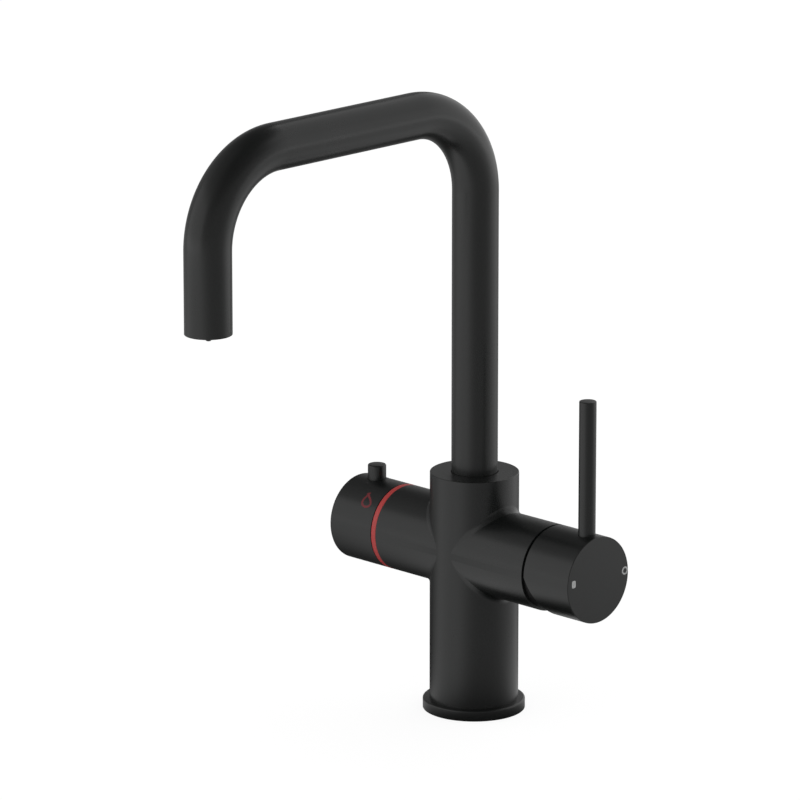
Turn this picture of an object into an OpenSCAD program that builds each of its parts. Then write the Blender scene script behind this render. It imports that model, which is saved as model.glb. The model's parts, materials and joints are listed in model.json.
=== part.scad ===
// Three-way kitchen tap: a single-lever mixer on one arm, a boiling water
// valve on the other, and one turning spout with a separate inner hose.
// Millimetres. The origin is on the body axis at the worktop, Z is up, the
// mixer arm points along +X and the spout along -Y.

/* [Body] */
// Wall of the upright barrel round its shank thread
barrel_wall = 9.31; // [9:0.01:11]
// Height of the arms' common axis
arm_h = 94.1; // [88:0.1:110]
// Wall of the mixer arm round the clamping nut
arm_wall = 4.2; // [3.6:0.1:4.6]
// Width of the small chamfers on turned edges
edge_break = 0.4; // [0.2:0.1:0.6]
// Distance that the base flange stands out round the barrel
flange_step = 3.85; // [3:0.05:7]
// Thickness of the base flange
flange_t = 6.1; // [5:0.1:8]
// Rounding of the base flange's rim
flange_round = 0.9; // [0.4:0.1:1.5]
// Step in radius from the barrel to the spigot that centres the base flange
spigot_step = 6; // [5:0.1:6.6]
// Distance from the flange's rim to the rubber ring under it
base_seal_inset = 2.85; // [2:0.05:4]
// Width of the rubber ring under the flange
base_seal_w = 4; // [3:0.5:5]
// Thickness of the rubber ring under the flange
base_seal_t = 2.4; // [1.5:0.1:3]

/* [Worktop connection] */
// Core diameter of the M33 x 1.5 thread for the hollow fixing shank
shank_bore_d = 31.38; // [30.4:0.01:32]
// Depth of the shank thread
shank_bore_h = 18; // [14:0.5:22]
// Radial room round the hose block as it goes in through the shank thread
block_room = 0.99; // [0.7:0.01:1.2]
// Height of the hose block
block_h = 14; // [12:0.5:16]
// Core diameter of the M10 x 1 hose threads
hose_bore_d = 8.92; // [8:0.01:9.2]
// Depth of the hose threads
hose_bore_h = 10; // [8:0.5:11]
// Pitch circle of the hose threads and of the mixer's ports
port_pcd = 17.2; // [16.6:0.1:17.6]
// Thickness of the rubber ring round the hose block
block_ring_t = 2; // [1.6:0.1:2.2]

/* [Waterways] */
// Bore of the cold and hot risers
riser_d = 6; // [5:0.1:6.4]
// Bore of the cross drillings to the mixer
cross_d = 5.4; // [4.4:0.1:5.8]
// Bore of the drillings for boiling water
boil_way_d = 4.4; // [3.6:0.1:4.8]

/* [Spout] */
// Outer diameter of the spout tube
spout_d = 26; // [25.6:0.1:26.6]
// Wall of the spout tube
spout_wall = 1.2; // [1:0.05:1.4]
// Height of the spout's level run, at its centreline
spout_h = 348.2; // [320:1:400]
// Distance from the body axis to the outlet's axis
spout_reach = 204; // [180:1:240]
// Centreline radius of both bends
bend_r = 49.2; // [40:0.2:60]
// Length of the straight pipe between the outer bend and the outlet's rim
outlet_leg = 45.1; // [35:0.1:60]
// Radial gap between the spout tube and its socket in the barrel
socket_gap = 0.3; // [0.25:0.05:0.5]
// Wall of the upper bush
upper_bush_t = 2; // [1.5:0.1:2.4]
// Height of the upper bush
upper_bush_h = 8; // [6:0.5:9]
// Height of the barrel's rim above the upper bush
bush_lip = 2; // [1.5:0.1:3]
// Wall of the spout's turned stem
stem_wall = 4.1; // [3.6:0.1:4.5]
// Cord thickness of the two rubber rings on the stem
stem_ring_t = 2; // [1.8:0.05:2.2]
// Diameter of the screw that keeps the spout in
keeper_d = 5; // [4.5:0.1:5]

/* [Inner hose] */
// Outer diameter of the boiling water hose
hose_d = 8; // [7:0.1:9]
// Wall of the boiling water hose
hose_wall = 1.3; // [1.1:0.05:1.4]
// Diameter of the nipple that the hose plug turns on
nipple_d = 6; // [5.6:0.1:6.2]
// Diameter of the hose plug
plug_d = 10; // [9.4:0.1:10.6]

/* [Outlet] */
// Wall of the threaded collar in the spout's end
collar_wall = 1.4; // [1.2:0.05:1.6]
// Height of the threaded collar
collar_h = 14; // [12.6:0.2:16]
// Wall of the aerator's cup
aerator_wall = 1.1; // [0.9:0.05:1.3]
// Height of the aerator's cup
aerator_h = 9.4; // [9:0.1:10.2]
// Thickness of the aerator's grid
grid_t = 2; // [1.5:0.1:2.5]
// Hole diameter in the aerator's grid
grid_hole_d = 1.5; // [1.2:0.1:1.6]
// Diameter of the boiling water nozzle's tip
tip_d = 3.2; // [2.8:0.1:3.6]
// Distance that the nozzle's tip stands below the outlet's rim
tip_drop = 3.6; // [2:0.1:5]

/* [Mixer handle] */
// Thickness of the mixer cap's flat end, past its ball-shaped hollow
cap_end_t = 10.05; // [9:0.05:13]
// Gap between the mixer arm and its cap
cap_gap = 1.6; // [1.2:0.1:2]
// Angle of the cap's undercut, which is also its full tilt
tilt_angle = 25; // [20:1:27]
// Radial gap between the cap and the cover under it
cover_gap = 0.35; // [0.3:0.05:0.5]
// Thickness of the cap's skirt at its rim
skirt_t = 1.15; // [1:0.05:1.4]
// Distance from the lever's axis to the flat end of the mixer cap
lever_inset = 8.7; // [8:0.1:9.5]
// Diameter of the lever
lever_d = 9.6; // [8.6:0.1:9.8]
// Height of the lever's top above the worktop
lever_top = 194.5; // [175:0.5:215]
// Diameter of the lever's threaded end
lever_thread_d = 6; // [5:0.1:6]
// Depth of the seat that the lever stands in
lever_seat = 1.5; // [1.2:0.1:1.8]
// Diameter of the clamping screw under the cap
cap_screw_d = 5; // [4:0.1:5.5]

/* [Mixer cartridge] */
// Outer diameter of the cartridge
cart_d = 34.8; // [34:0.1:35.2]
// Wall of the cartridge's housing
cart_wall = 2.2; // [1.9:0.05:2.3]
// Distance from the body axis to the cartridge's seat
cart_seat_l = 33; // [30:0.1:38]
// Thickness of the port rings under the cartridge
cart_seal_t = 1; // [0.8:0.1:1.2]
// Thickness of the cartridge's base
cart_base_t = 4; // [3.8:0.1:4.2]
// Thickness of the fixed ceramic disc
fixed_disc_t = 3.5; // [3.2:0.1:3.6]
// Width of the housing's rim round the fixed ceramic disc
disc_rim = 2.9; // [2.6:0.1:3.2]
// Thickness of the sliding ceramic disc
slide_disc_t = 3.4; // [3:0.1:3.6]
// Width by which the fixed disc shows round the sliding disc
disc_margin = 2.7; // [2.5:0.1:3.2]
// Floor of the sliding disc's carrier, under the ball
carrier_floor_t = 0.84; // [0.6:0.02:1.2]
// Diameter of the ball of the lever stem
ball_d = 6.4; // [6:0.1:6.4]
// Side of the square lever stem
stem_side = 8; // [7.6:0.1:8.2]
// Diameter of the lever stem's pin
pin_d = 3; // [2.6:0.1:3.2]
// Step in radius between the cartridge's housing and its neck
neck_step = 2.8; // [2.6:0.1:3]
// Distance that the neck stands out past the tilt axis
neck_out = 5.2; // [4.6:0.1:5.6]
// Step in radius between the cartridge and the clamping nut's thread
nut_step = 2.9; // [2.5:0.1:3.2]
// Thickness of the clamping nut
nut_t = 3.2; // [2.8:0.1:3.6]
// Length of the domed cover's skirt inside the mixer arm
cover_land = 2.14; // [1.8:0.02:4]
// Thickness of the domed cover's shell
cover_t = 1.4; // [1.2:0.1:1.8]

/* [Boiling knob] */
// Length of the knob
knob_h = 32.3; // [30:0.1:40]
// Width of the coloured ring beside the knob
ring_w = 3.4; // [2.6:0.1:4]
// Wall of the knob
knob_wall = 2.4; // [2:0.1:2.8]
// Thickness of the knob's solid end
knob_end_t = 7.4; // [7:0.1:8]
// Distance from the lock button's axis to the knob's solid end
button_back = 5.8; // [5.6:0.1:7]
// Diameter of the lock button's head
button_d = 10.5; // [9.6:0.1:10.8]
// Height of the lock button's top above the knob's surface
button_out = 8.3; // [7:0.1:10]
// Travel of the lock button
button_travel = 3; // [2.5:0.1:3]
// Diameter of the lock button's stem
button_stem_d = 5; // [4.4:0.1:5.2]
// Angle that the knob turns through
knob_turn = 90; // [80:1:95]
// Outer diameter of the stop sleeve
sleeve_d = 20.8; // [20:0.1:21]
// Bore of the stop sleeve
sleeve_bore_d = 14.8; // [14.4:0.1:15.2]
// Diameter of the knob's splined insert
insert_d = 12; // [11.6:0.1:12.2]
// Diameter of the knob's clamping screw
knob_screw_d = 4; // [3:0.1:4.4]
// Wire thickness of the button's spring
spring_wire = 0.6; // [0.5:0.05:0.7]
// Number of turns of the button's spring
spring_turns = 3; // [2:0.5:4]

/* [Boiling valve] */
// Distance from the body axis to the valve's seat
valve_seat_l = 24; // [23.6:0.1:24.4]
// Wall of the valve's nose round the ceramic discs
nose_wall = 1.7; // [1.4:0.1:1.8]
// Step in radius between the valve's nose and its G 1/2 thread
valve_thread_step = 1.1; // [1:0.05:1.2]
// Length of the valve's nose
nose_h = 14; // [13.6:0.1:14.4]
// Length of the valve's thread
valve_thread_h = 10; // [9.6:0.1:10.4]
// Width of the hexagon's shoulder past the thread, over the washer
hex_land = 1.6; // [1.2:0.1:2]
// Depth of the recess in the arm's end that the hexagon stands in
valve_recess_h = 6.1; // [5:0.1:9]
// Height of the valve's hexagon
valve_hex_h = 5; // [4.6:0.1:5.2]
// Diameter of the valve's neck
valve_neck_d = 13; // [12.8:0.1:13.4]
// Diameter of the valve's spindle
spindle_d = 8.4; // [8:0.1:8.6]
// Diameter of the valve's two ceramic discs
valve_disc_d = 15.2; // [14.8:0.1:15.4]
// Thickness of each of the valve's ceramic discs
valve_disc_t = 2.6; // [2.4:0.1:2.8]
// Number of teeth on the spindle's spline
spline_teeth = 20; // [16:1:24]

/* [Fits] */
// Clearance between pieces that are fixed together
fit_gap = 0.1; // [0.05:0.01:0.12]
// Radial clearance where one piece turns or slides in another
run_gap = 0.06; // [0.04:0.01:0.08]
// Gap where a moving piece passes a fixed one
free_gap = 0.4; // [0.3:0.05:0.5]

/* [Hidden] */
$fn = 96;
// Overrun of every cut past the face that it opens
over = 1;
rubber = "#1c1c1c";
brass = "#b5a062";
steel = "#9a9c9e";
ceramic = "#e6e2d8";
white_plastic = "#cfcfca";
satin_black = "#2a2b2a";
ring_red = "#a82630";

// Diameters that follow the shank thread, the cartridge and the spout
body_d = shank_bore_d + 2 * barrel_wall;
spigot_d = body_d - 2 * spigot_step;
nut_d = cart_d + 2 * nut_step;
arm_d = nut_d + 2 * arm_wall;
flange_d = body_d + 2 * flange_step;
base_seal_d = flange_d - 2 * base_seal_inset;
block_d = shank_bore_d - 2 * block_room;
socket_d = spout_d + 2 * socket_gap;
upper_bush_d = spout_d + 2 * upper_bush_t;
stem_inset = 0.5;
stem_d = spout_d - 2 * stem_inset;
stem_bore_d = stem_d - 2 * stem_wall;
nose_d = valve_disc_d + 2 * nose_wall;
valve_bore_d = nose_d + 2 * valve_thread_step;
valve_hex = valve_bore_d + 2 * hex_land;
// Room for a socket key round the valve's hexagon, and the wall round that
key_room = 2.64;
ring_spigot_wall = 3;
valve_recess_d = valve_hex / cos(30) + 2 * key_room;
ring_bore_d = valve_recess_d + 2 * ring_spigot_wall;

// The boiling drilling runs half outside the valve's chamber
chamber_d = nose_d + 2 * fit_gap + run_gap;
boil_out_h = arm_h + chamber_d / 2;
nipple_z = boil_out_h;
nipple_thread_h = 7.4;

// Heights of the barrel's inside, from the worktop upwards
block_z = shank_bore_h;
block_top = block_z + block_h;
socket_z = nipple_z + nipple_thread_h;
stem_lift = 2;
stem_z = socket_z + stem_lift;
ring_rise = 4.2;
ring_pitch = 3.2;
stem_ring_zs = [stem_z + ring_rise, stem_z + ring_rise + ring_pitch];
keeper_rise = 4.7;
keeper_z = stem_ring_zs[1] + keeper_rise;
upper_bush_z = keeper_z + keeper_d / 2 + free_gap;
tube_lead = 1;
tube_z = upper_bush_z + tube_lead;
body_h = upper_bush_z + upper_bush_h + bush_lip;
socket_h = body_h - socket_z;
outlet_h = spout_h - bend_r - outlet_leg;

// Places of the two supply ports and of the mixed water's port
port_r = port_pcd / 2;
port_drop = port_r * cos(60);
port_side = port_r * sin(60);
supply_h = arm_h - port_drop;
mixed_h = arm_h + port_r;
// The upright drilling that brings mixed water into the spout's socket
mixed_l = nipple_d + cross_d / 2;

// Stations along the mixer arm, from the body axis outwards
cart_base_l = cart_seat_l + cart_seal_t;
cart_disc_l = cart_base_l + cart_base_t;
slide_disc_l = cart_disc_l + fixed_disc_t + run_gap;
carrier_l = slide_disc_l + slide_disc_t;
ball_l = carrier_l + carrier_floor_t + free_gap + ball_d / 2;
carrier_end_l = ball_l + ball_d / 4;
rotor_l = carrier_end_l + 1.5 * free_gap;
rotor_flange_t = 1.4;
housing_end_t = 1.4;
nut_l = rotor_l + rotor_flange_t + run_gap + housing_end_t;
mixer_arm_l = nut_l + nut_t + cover_land;
tilt_l = mixer_arm_l + cap_gap;
stem_arm = tilt_l - ball_l;
fixed_disc_d = cart_d - 2 * disc_rim;
slide_disc_d = fixed_disc_d - 2 * disc_margin;
neck_wall = 1.6;
neck_d = cart_d - 2 * neck_step;
neck_bore_d = neck_d - 2 * neck_wall;
rotor_d = neck_bore_d - 2 * run_gap;
// The disc starts this far below the axis and slides as far above it
slide_travel = stem_arm * tilt_angle * PI / 180;
slide_start = slide_travel / 2;
// The ball-shaped hollow of the cap, and the domed cover inside it
cap_hollow_r = arm_d / 2 - skirt_t;
cap_end_l = tilt_l + cap_hollow_r + cap_end_t;
lever_l = cap_end_l - lever_inset;
cover_r = cap_hollow_r - cover_gap;
cover_margin_angle = 27;
cover_open_angle = tilt_angle + cover_margin_angle;

// Stations along the boiling arm, from the body axis outwards
valve_thread_l = valve_seat_l + nose_h;
valve_face_l = valve_thread_l + valve_thread_h;
valve_washer_t = 1;
hex_l = valve_face_l + valve_washer_t;
hex_end_l = hex_l + valve_hex_h;
valve_neck_h = 8;
valve_neck_end_l = hex_end_l + valve_neck_h;
boil_arm_l = valve_face_l + valve_recess_h;
ring_end_l = boil_arm_l + ring_w;
knob_l = ring_end_l + free_gap;
knob_end_l = knob_l + knob_h;
knob_solid_l = knob_end_l - knob_end_t;
button_l = knob_solid_l - button_back;
sleeve_end_l = knob_solid_l - 2 * free_gap;
spline_end_l = sleeve_end_l - 5 * free_gap;
// Radial stations of the lock button, from the knob's surface inwards
knob_r = arm_d / 2;
head_sink = 1.9;
button_head_r = knob_r - head_sink;
spring_room = button_travel + (spring_turns + 1) * spring_wire + 2 * fit_gap;
boss_floor_t = 1.4;
boss_floor_r = button_head_r - spring_room - boss_floor_t;
boss_wall = 2.7;
boss_d = button_d + 2 * boss_wall;
clip_t = 0.6;
clip_r = boss_floor_r - clip_t - fit_gap;
foot_depth = 1;
button_foot_r = sleeve_d / 2 - foot_depth;

// A turned piece: its Z runs outwards along the mixer arm and its X points up
module on_mixer(l) translate([l, 0, arm_h]) rotate([0, 90, 0]) rotate([0, 0, 180]) children();

// A turned piece: its Z runs outwards along the boiling arm and its X points up
module on_valve(l) translate([-l, 0, arm_h]) rotate([0, -90, 0]) children();

// A plain ring standing on its origin
module ring(h, d, bore) difference() {
    cylinder(d = d, h = h);
    translate([0, 0, -over]) cylinder(d = bore, h = h + 2 * over);
}

// A disc or rod with a chamfer at either end
module turned(h, d, low = edge_break, high = edge_break) rotate_extrude() polygon([
    [0, 0], [d / 2 - low, 0], [d / 2, low], [d / 2, h - high], [d / 2 - high, h], [0, h]
]);

// A rubber ring of round section, lying round the Z axis
module rubber_ring(mid_d, t) rotate_extrude() translate([mid_d / 2, 0]) circle(d = t, $fn = 32);

// A curved port: a slot along an arc round the Z axis
module arc_port(r, w, angle, h) rotate([0, 0, -angle / 2]) {
    rotate_extrude(angle = angle) translate([r - w / 2, 0]) square([w, h]);
}

// A hexagon socket for a key, cut into a screw's face
module key_socket(w, h) translate([0, 0, -over]) cylinder(d = w / cos(30), h = h + over, $fn = 6);

// The three ports lie a third of a turn apart
module at_ports() for (turn = [0, 120, 240]) rotate([0, 0, turn]) translate([port_r, 0, 0]) children();

// Body

module barrel() translate([0, 0, flange_t]) turned(body_h - flange_t, body_d);

module arms() {
    on_valve(0) turned(boil_arm_l, arm_d, 0, edge_break / 2);
    on_mixer(0) turned(mixer_arm_l, arm_d, 0, edge_break / 2);
    on_valve(boil_arm_l - over) cylinder(d = ring_bore_d, h = ring_w + over - fit_gap);
}

module shank_socket() translate([0, 0, -over]) cylinder(d = shank_bore_d, h = shank_bore_h + over);

module block_pocket() translate([0, 0, block_z - over])
    cylinder(d = block_d + 2 * fit_gap, h = block_h + over + fit_gap);

module risers() for (side = [-1, 1]) translate([port_drop, side * port_side, block_top]) {
    cylinder(d = riser_d, h = supply_h - block_top);
}

module mixer_ways() {
    for (side = [-1, 1]) translate([port_drop, side * port_side, supply_h])
        rotate([0, 90, 0]) cylinder(d = cross_d, h = cart_seat_l - port_drop + over);
    translate([mixed_l, 0, mixed_h]) {
        rotate([0, 90, 0]) cylinder(d = cross_d, h = cart_seat_l - mixed_l + over);
        cylinder(d = cross_d - edge_break, h = socket_z - mixed_h + over);
    }
}

module boiling_ways() {
    translate([-port_r, 0, block_top]) cylinder(d = boil_way_d, h = arm_h - block_top);
    on_valve(port_r) cylinder(d = boil_way_d - edge_break, h = valve_seat_l - port_r + over);
    translate([0, 0, boil_out_h]) rotate([0, -90, 0]) cylinder(d = boil_way_d, h = valve_seat_l + nose_h / 2);
    translate([0, 0, nipple_z]) cylinder(d = nipple_thread_d, h = socket_z - nipple_z + over);
}

module spout_socket() {
    translate([0, 0, socket_z]) cylinder(d = socket_d, h = socket_h + over);
    translate([0, 0, upper_bush_z]) cylinder(d = upper_bush_d + 2 * fit_gap, h = upper_bush_h + 2 * fit_gap);
}

module keeper_hole() translate([0, 0, keeper_z]) rotate([-90, 0, 0])
    cylinder(d = keeper_d + 2 * fit_gap, h = body_d / 2 + over);

module cartridge_bore() {
    on_mixer(cart_seat_l) cylinder(d = cart_d + 2 * fit_gap, h = mixer_arm_l - cart_seat_l + over);
    on_mixer(nut_l - 2 * free_gap) cylinder(d = nut_d + 2 * fit_gap, h = mixer_arm_l);
    on_mixer(cart_seat_l - peg_h - fit_gap) at_pegs() cylinder(d = peg_d + 2 * fit_gap, h = peg_h + over);
}
peg_d = 3;
peg_h = 2.5;
peg_r = cart_d / 2 - 1.5 * peg_d;
module at_pegs() for (turn = [60, 180]) rotate([0, 0, turn]) translate([peg_r, 0, 0]) children();

module valve_bore() {
    on_valve(valve_seat_l) cylinder(d = chamber_d, h = nose_h + over);
    on_valve(valve_thread_l) cylinder(d = valve_bore_d + 2 * fit_gap, h = valve_thread_h + over);
    on_valve(valve_face_l) cylinder(d = valve_recess_d, h = knob_end_l);
}

module body_casting() color(satin_black) difference() {
    union() {
        barrel();
        arms();
        cylinder(d = spigot_d, h = flange_t + over);
    }
    shank_socket();
    block_pocket();
    risers();
    mixer_ways();
    boiling_ways();
    spout_socket();
    keeper_hole();
    cartridge_bore();
    valve_bore();
}

module base_flange() color(satin_black) difference() {
    rotate_extrude() {
        translate([0, edge_break]) square([flange_d / 2, flange_t - flange_round - edge_break]);
        square([flange_d / 2 - edge_break, flange_t - flange_round]);
        square([flange_d / 2 - flange_round, flange_t]);
        translate([flange_d / 2 - flange_round, flange_t - flange_round]) circle(r = flange_round, $fn = 48);
    }
    translate([0, 0, -over]) cylinder(d = spigot_d + 2 * fit_gap, h = flange_t + 2 * over);
    translate([0, 0, -over]) ring(base_seal_t + over + fit_gap, base_seal_d + 2 * fit_gap,
        base_seal_d - 2 * base_seal_w - 2 * fit_gap);
}

module base_seal() color(rubber) ring(base_seal_t, base_seal_d, base_seal_d - 2 * base_seal_w);

// Hose block

module hose_block() color(brass) translate([0, 0, block_z]) difference() {
    turned(block_h, block_d);
    rotate([0, 0, 60]) at_ports() {
        translate([0, 0, -over]) cylinder(d = hose_bore_d, h = hose_bore_h + over);
        cylinder(d = boil_way_d, h = block_h + over);
    }
    translate([0, 0, block_ring_z]) ring(block_ring_t + 2 * fit_gap, block_d + over, block_ring_in);
}
block_ring_drop = 3.2;
block_ring_z = block_h - block_ring_drop;
block_ring_in = block_d - 2 * block_ring_t + 2 * fit_gap;

module hose_block_ring() color(rubber)
    translate([0, 0, block_z + block_ring_z + block_ring_t / 2 + fit_gap])
    rubber_ring(block_d - block_ring_t + 2 * fit_gap, block_ring_t - 2 * fit_gap);

// Spout bearing

module split_bush(h, d, bore) difference() {
    ring(h, d, bore);
    translate([-over, 0, -over]) cube([2 * over, d, h + 2 * over]);
}

module spout_bushes() color(white_plastic) {
    translate([0, 0, upper_bush_z + fit_gap])
        split_bush(upper_bush_h, upper_bush_d, spout_d + 2 * run_gap);
    translate([0, 0, stem_z + fit_gap])
        rotate([0, 0, 180]) split_bush(lower_bush_h, socket_d - 2 * fit_gap, stem_d + 2 * run_gap);
}
lower_bush_h = 2;

// A headless screw, with its socket at the origin and its point along +Z
module headless_screw(h, d, point_h, point_d) difference() {
    union() {
        turned(h, d, edge_break, edge_break);
        cylinder(d = point_d, h = h + point_h);
    }
    key_socket(d / 2, h / 3);
}

module spout_keeper_screw() color(steel) translate([0, body_d / 2 - edge_break, keeper_z])
    rotate([90, 0, 0]) headless_screw(keeper_h, keeper_d, keeper_point_h, stem_ring_t);
keeper_h = body_d / 2 - edge_break - socket_d / 2 - edge_break;
keeper_groove_t = 1.5;
keeper_groove_d = stem_d - 2 * keeper_groove_t;
keeper_point_h = (socket_d - keeper_groove_d) / 2 + edge_break - free_gap;
keeper_groove_h = stem_ring_t + 2 * free_gap;

module boiling_nipple() color(brass) difference() {
    union() {
        translate([0, 0, nipple_z + boil_way_d / 2 + fit_gap])
            cylinder(d = nipple_thread_d - 2 * fit_gap, h = nipple_thread_h - boil_way_d / 2);
        translate([0, 0, socket_z]) cylinder(d = nipple_hex / cos(30), h = nipple_hex_h, $fn = 6);
        translate([0, 0, socket_z]) turned(nipple_h, nipple_d, 0, edge_break);
    }
    translate([0, 0, nipple_z]) cylinder(d = nipple_d / 2, h = nipple_thread_h + nipple_h + over);
}
nipple_thread_d = 8;
nipple_hex = 10;
nipple_hex_h = 2.2;
nipple_h = 10;

// Mixer cartridge, from its seat outwards

module cartridge_port_rings() color(rubber) on_mixer(cart_seat_l) at_ports()
    ring(cart_seal_t, cross_d + 2 * port_ring_w, cross_d);
port_ring_w = 1.5;

module cartridge_base() color(white_plastic) on_mixer(cart_base_l) difference() {
    union() {
        turned(cart_base_t, cart_d, edge_break, 0);
        translate([0, 0, -cart_seal_t - peg_h]) at_pegs() cylinder(d = peg_d, h = peg_h + cart_seal_t + over);
    }
    at_ports() translate([0, 0, -over]) cylinder(d = cross_d, h = cart_base_t + 2 * over);
}

module fixed_disc() color(ceramic) on_mixer(cart_disc_l) difference() {
    cylinder(d = fixed_disc_d, h = fixed_disc_t);
    for (turn = [0, 120, 240]) rotate([0, 0, turn]) translate([0, 0, -over])
        arc_port(port_r, cross_d, port_arc_angle, fixed_disc_t + 2 * over);
}
port_arc_angle = 40;

module cartridge_housing() color(white_plastic) on_mixer(cart_disc_l) rotate_extrude() polygon([
    [fixed_disc_d / 2 + fit_gap, 0],
    [cart_d / 2, 0],
    [cart_d / 2, nut_l - cart_disc_l],
    [neck_d / 2, nut_l - cart_disc_l],
    [neck_d / 2, tilt_l + neck_out - cart_disc_l],
    [neck_bore_d / 2, tilt_l + neck_out - cart_disc_l],
    [neck_bore_d / 2, rotor_l + rotor_flange_t + run_gap - cart_disc_l],
    [cart_d / 2 - cart_wall, rotor_l + rotor_flange_t + run_gap - cart_disc_l],
    [cart_d / 2 - cart_wall, fixed_disc_t - edge_break],
    [fixed_disc_d / 2 + fit_gap, fixed_disc_t - edge_break]
]);

module cartridge_nut() color(brass) on_mixer(nut_l) difference() {
    turned(nut_t, nut_d);
    translate([0, 0, -over]) cylinder(d = neck_d + 2 * fit_gap, h = nut_t + 2 * over);
    for (turn = [45:90:315]) rotate([0, 0, turn])
        translate([nut_d / 2 - notch_w, -notch_w / 2, nut_t / 2]) cube([notch_w + over, notch_w, nut_t]);
}
notch_w = 3;

module domed_cover() color("#151615") on_mixer(0) difference() {
    union() {
        intersection() {
            translate([0, 0, tilt_l]) sphere(r = cover_r);
            translate([0, 0, mixer_arm_l]) cylinder(d = arm_d, h = cover_r);
        }
        translate([0, 0, cover_skirt_l]) cylinder(d = nut_d, h = mixer_arm_l - cover_skirt_l + over);
    }
    translate([0, 0, cover_skirt_l - over])
        cylinder(d = nut_d - 2 * cover_t, h = tilt_l - cover_skirt_l + over);
    translate([0, 0, tilt_l]) sphere(r = cover_r - cover_t);
    translate([0, 0, tilt_l]) cylinder(r = cover_r * sin(cover_open_angle), h = cover_r + over);
}
cover_skirt_l = nut_l + nut_t + fit_gap;

module cartridge_rotor() color(white_plastic) on_mixer(rotor_l) difference() {
    union() {
        cylinder(d = cart_d - 2 * cart_wall - 2 * free_gap, h = rotor_flange_t);
        cylinder(d = rotor_d, h = tilt_l + neck_out - rotor_l);
    }
    translate([-stem_side, -rotor_slot_w / 2, -over])
        cube([2 * stem_side + over, rotor_slot_w, tilt_l + neck_out - rotor_l + 2 * over]);
    translate([0, 0, tilt_l - rotor_l]) rotate([90, 0, 0])
        cylinder(d = pin_d + 2 * fit_gap, h = rotor_d, center = true, $fn = 48);
}
rotor_slot_w = stem_side + 2 * free_gap;

module stem_pin() color(steel) on_mixer(tilt_l) rotate([90, 0, 0])
    cylinder(d = pin_d, h = rotor_d - 2 * free_gap, center = true, $fn = 48);

module sliding_disc() color(ceramic) on_mixer(slide_disc_l) translate([-slide_start, 0, 0]) difference() {
    cylinder(d = slide_disc_d, h = slide_disc_t);
    translate([0, 0, -over]) arc_port(port_r / 2, cross_d, 4 * port_arc_angle, over + slide_disc_t / 2);
}

module disc_carrier() color(white_plastic) on_mixer(carrier_l) difference() {
    translate([-slide_start, 0, 0]) turned(carrier_end_l - carrier_l, slide_disc_d + edge_break);
    translate([0, 0, carrier_floor_t]) cylinder(d = ball_d + 2 * free_gap, h = carrier_end_l);
}

module lever_stem() color(brass) on_mixer(tilt_l) difference() {
    union() {
        translate([0, 0, -stem_arm]) sphere(d = ball_d, $fn = 64);
        translate([0, 0, -stem_arm]) cylinder(d = ball_neck_share * ball_d, h = stem_arm, $fn = 64);
        translate([-stem_side / 2, -stem_side / 2, -stem_foot])
            cube([stem_side, stem_side, stem_foot + stem_out]);
    }
    rotate([90, 0, 0]) cylinder(d = pin_d + 2 * run_gap, h = stem_side + 2 * over, center = true, $fn = 48);
}
ball_neck_share = 0.75;
stem_foot = 5.6;
cap_face_t = 2.6;
stem_out = cap_end_l - tilt_l - cap_face_t - 2 * fit_gap;

// Mixer handle

module mixer_cap() color(satin_black) on_mixer(tilt_l) difference() {
    union() {
        difference() {
            turned(cap_end_l - tilt_l, arm_d, edge_break / 2, edge_break);
            sphere(r = cap_hollow_r);
        }
        translate([0, 0, cap_hollow_r - cap_boss_h]) cylinder(d = cap_boss_d, h = cap_boss_h + over);
    }
    translate([-stem_side / 2 - fit_gap, -stem_side / 2 - fit_gap, 0])
        cube([stem_side + 2 * fit_gap, stem_side + 2 * fit_gap, stem_out + fit_gap]);
    rotate([0, tilt_angle, 0])
        translate([-2 * arm_d, -arm_d, -arm_d]) cube([2 * arm_d, 2 * arm_d, arm_d]);
    translate([0, 0, lever_l - tilt_l]) rotate([0, 90, 0]) {
        cylinder(d = lever_thread_d + 2 * fit_gap, h = arm_d);
        translate([0, 0, lever_foot_r]) cylinder(d = lever_d + 2 * fit_gap, h = arm_d);
    }
    translate([0, 0, lever_l - tilt_l]) rotate([0, -90, 0])
        cylinder(d = cap_screw_d + 2 * fit_gap, h = arm_d);
}
cap_boss_h = 7.95;
cap_boss_d = 14.4;
lever_foot_r = sqrt(pow(arm_d / 2, 2) - pow(lever_d / 2, 2)) - lever_seat;

module lever_rod() color(satin_black) translate([lever_l, 0, arm_h]) {
    translate([0, 0, lever_foot_r]) turned(lever_top - arm_h - lever_foot_r, lever_d, 0, edge_break);
    translate([0, 0, stem_side / 2 + free_gap])
        cylinder(d = lever_thread_d, h = lever_foot_r - stem_side / 2 - free_gap + over);
}

module cap_screw() color(steel) translate([lever_l, 0, arm_h - stem_side / 2 - cap_screw_h - 2 * fit_gap])
    headless_screw(cap_screw_h, cap_screw_d, 0, cap_screw_d / 2);
cap_screw_h = 8;

// Boiling valve, from its seat outwards

module valve_seat_seal() color(rubber) on_valve(valve_seat_l)
    ring(seat_seal_t, nose_d - 2 * edge_break, valve_port_d);
seat_seal_t = 1.4;
valve_port_d = 7;

module valve_fixed_disc() color(ceramic) on_valve(valve_disc_l) valve_disc();
valve_disc_l = valve_seat_l + seat_seal_t;
module valve_disc() difference() {
    cylinder(d = valve_disc_d, h = valve_disc_t);
    for (turn = [0, 180]) rotate([0, 0, turn]) translate([0, 0, -over])
        arc_port(valve_disc_d / 4, valve_disc_d / 5, valve_port_angle, valve_disc_t + 2 * over);
}
valve_port_angle = 50;

module valve_turning_disc() color(ceramic) on_valve(valve_disc_l + valve_disc_t + run_gap)
    rotate([0, 0, 90]) valve_disc();

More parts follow.
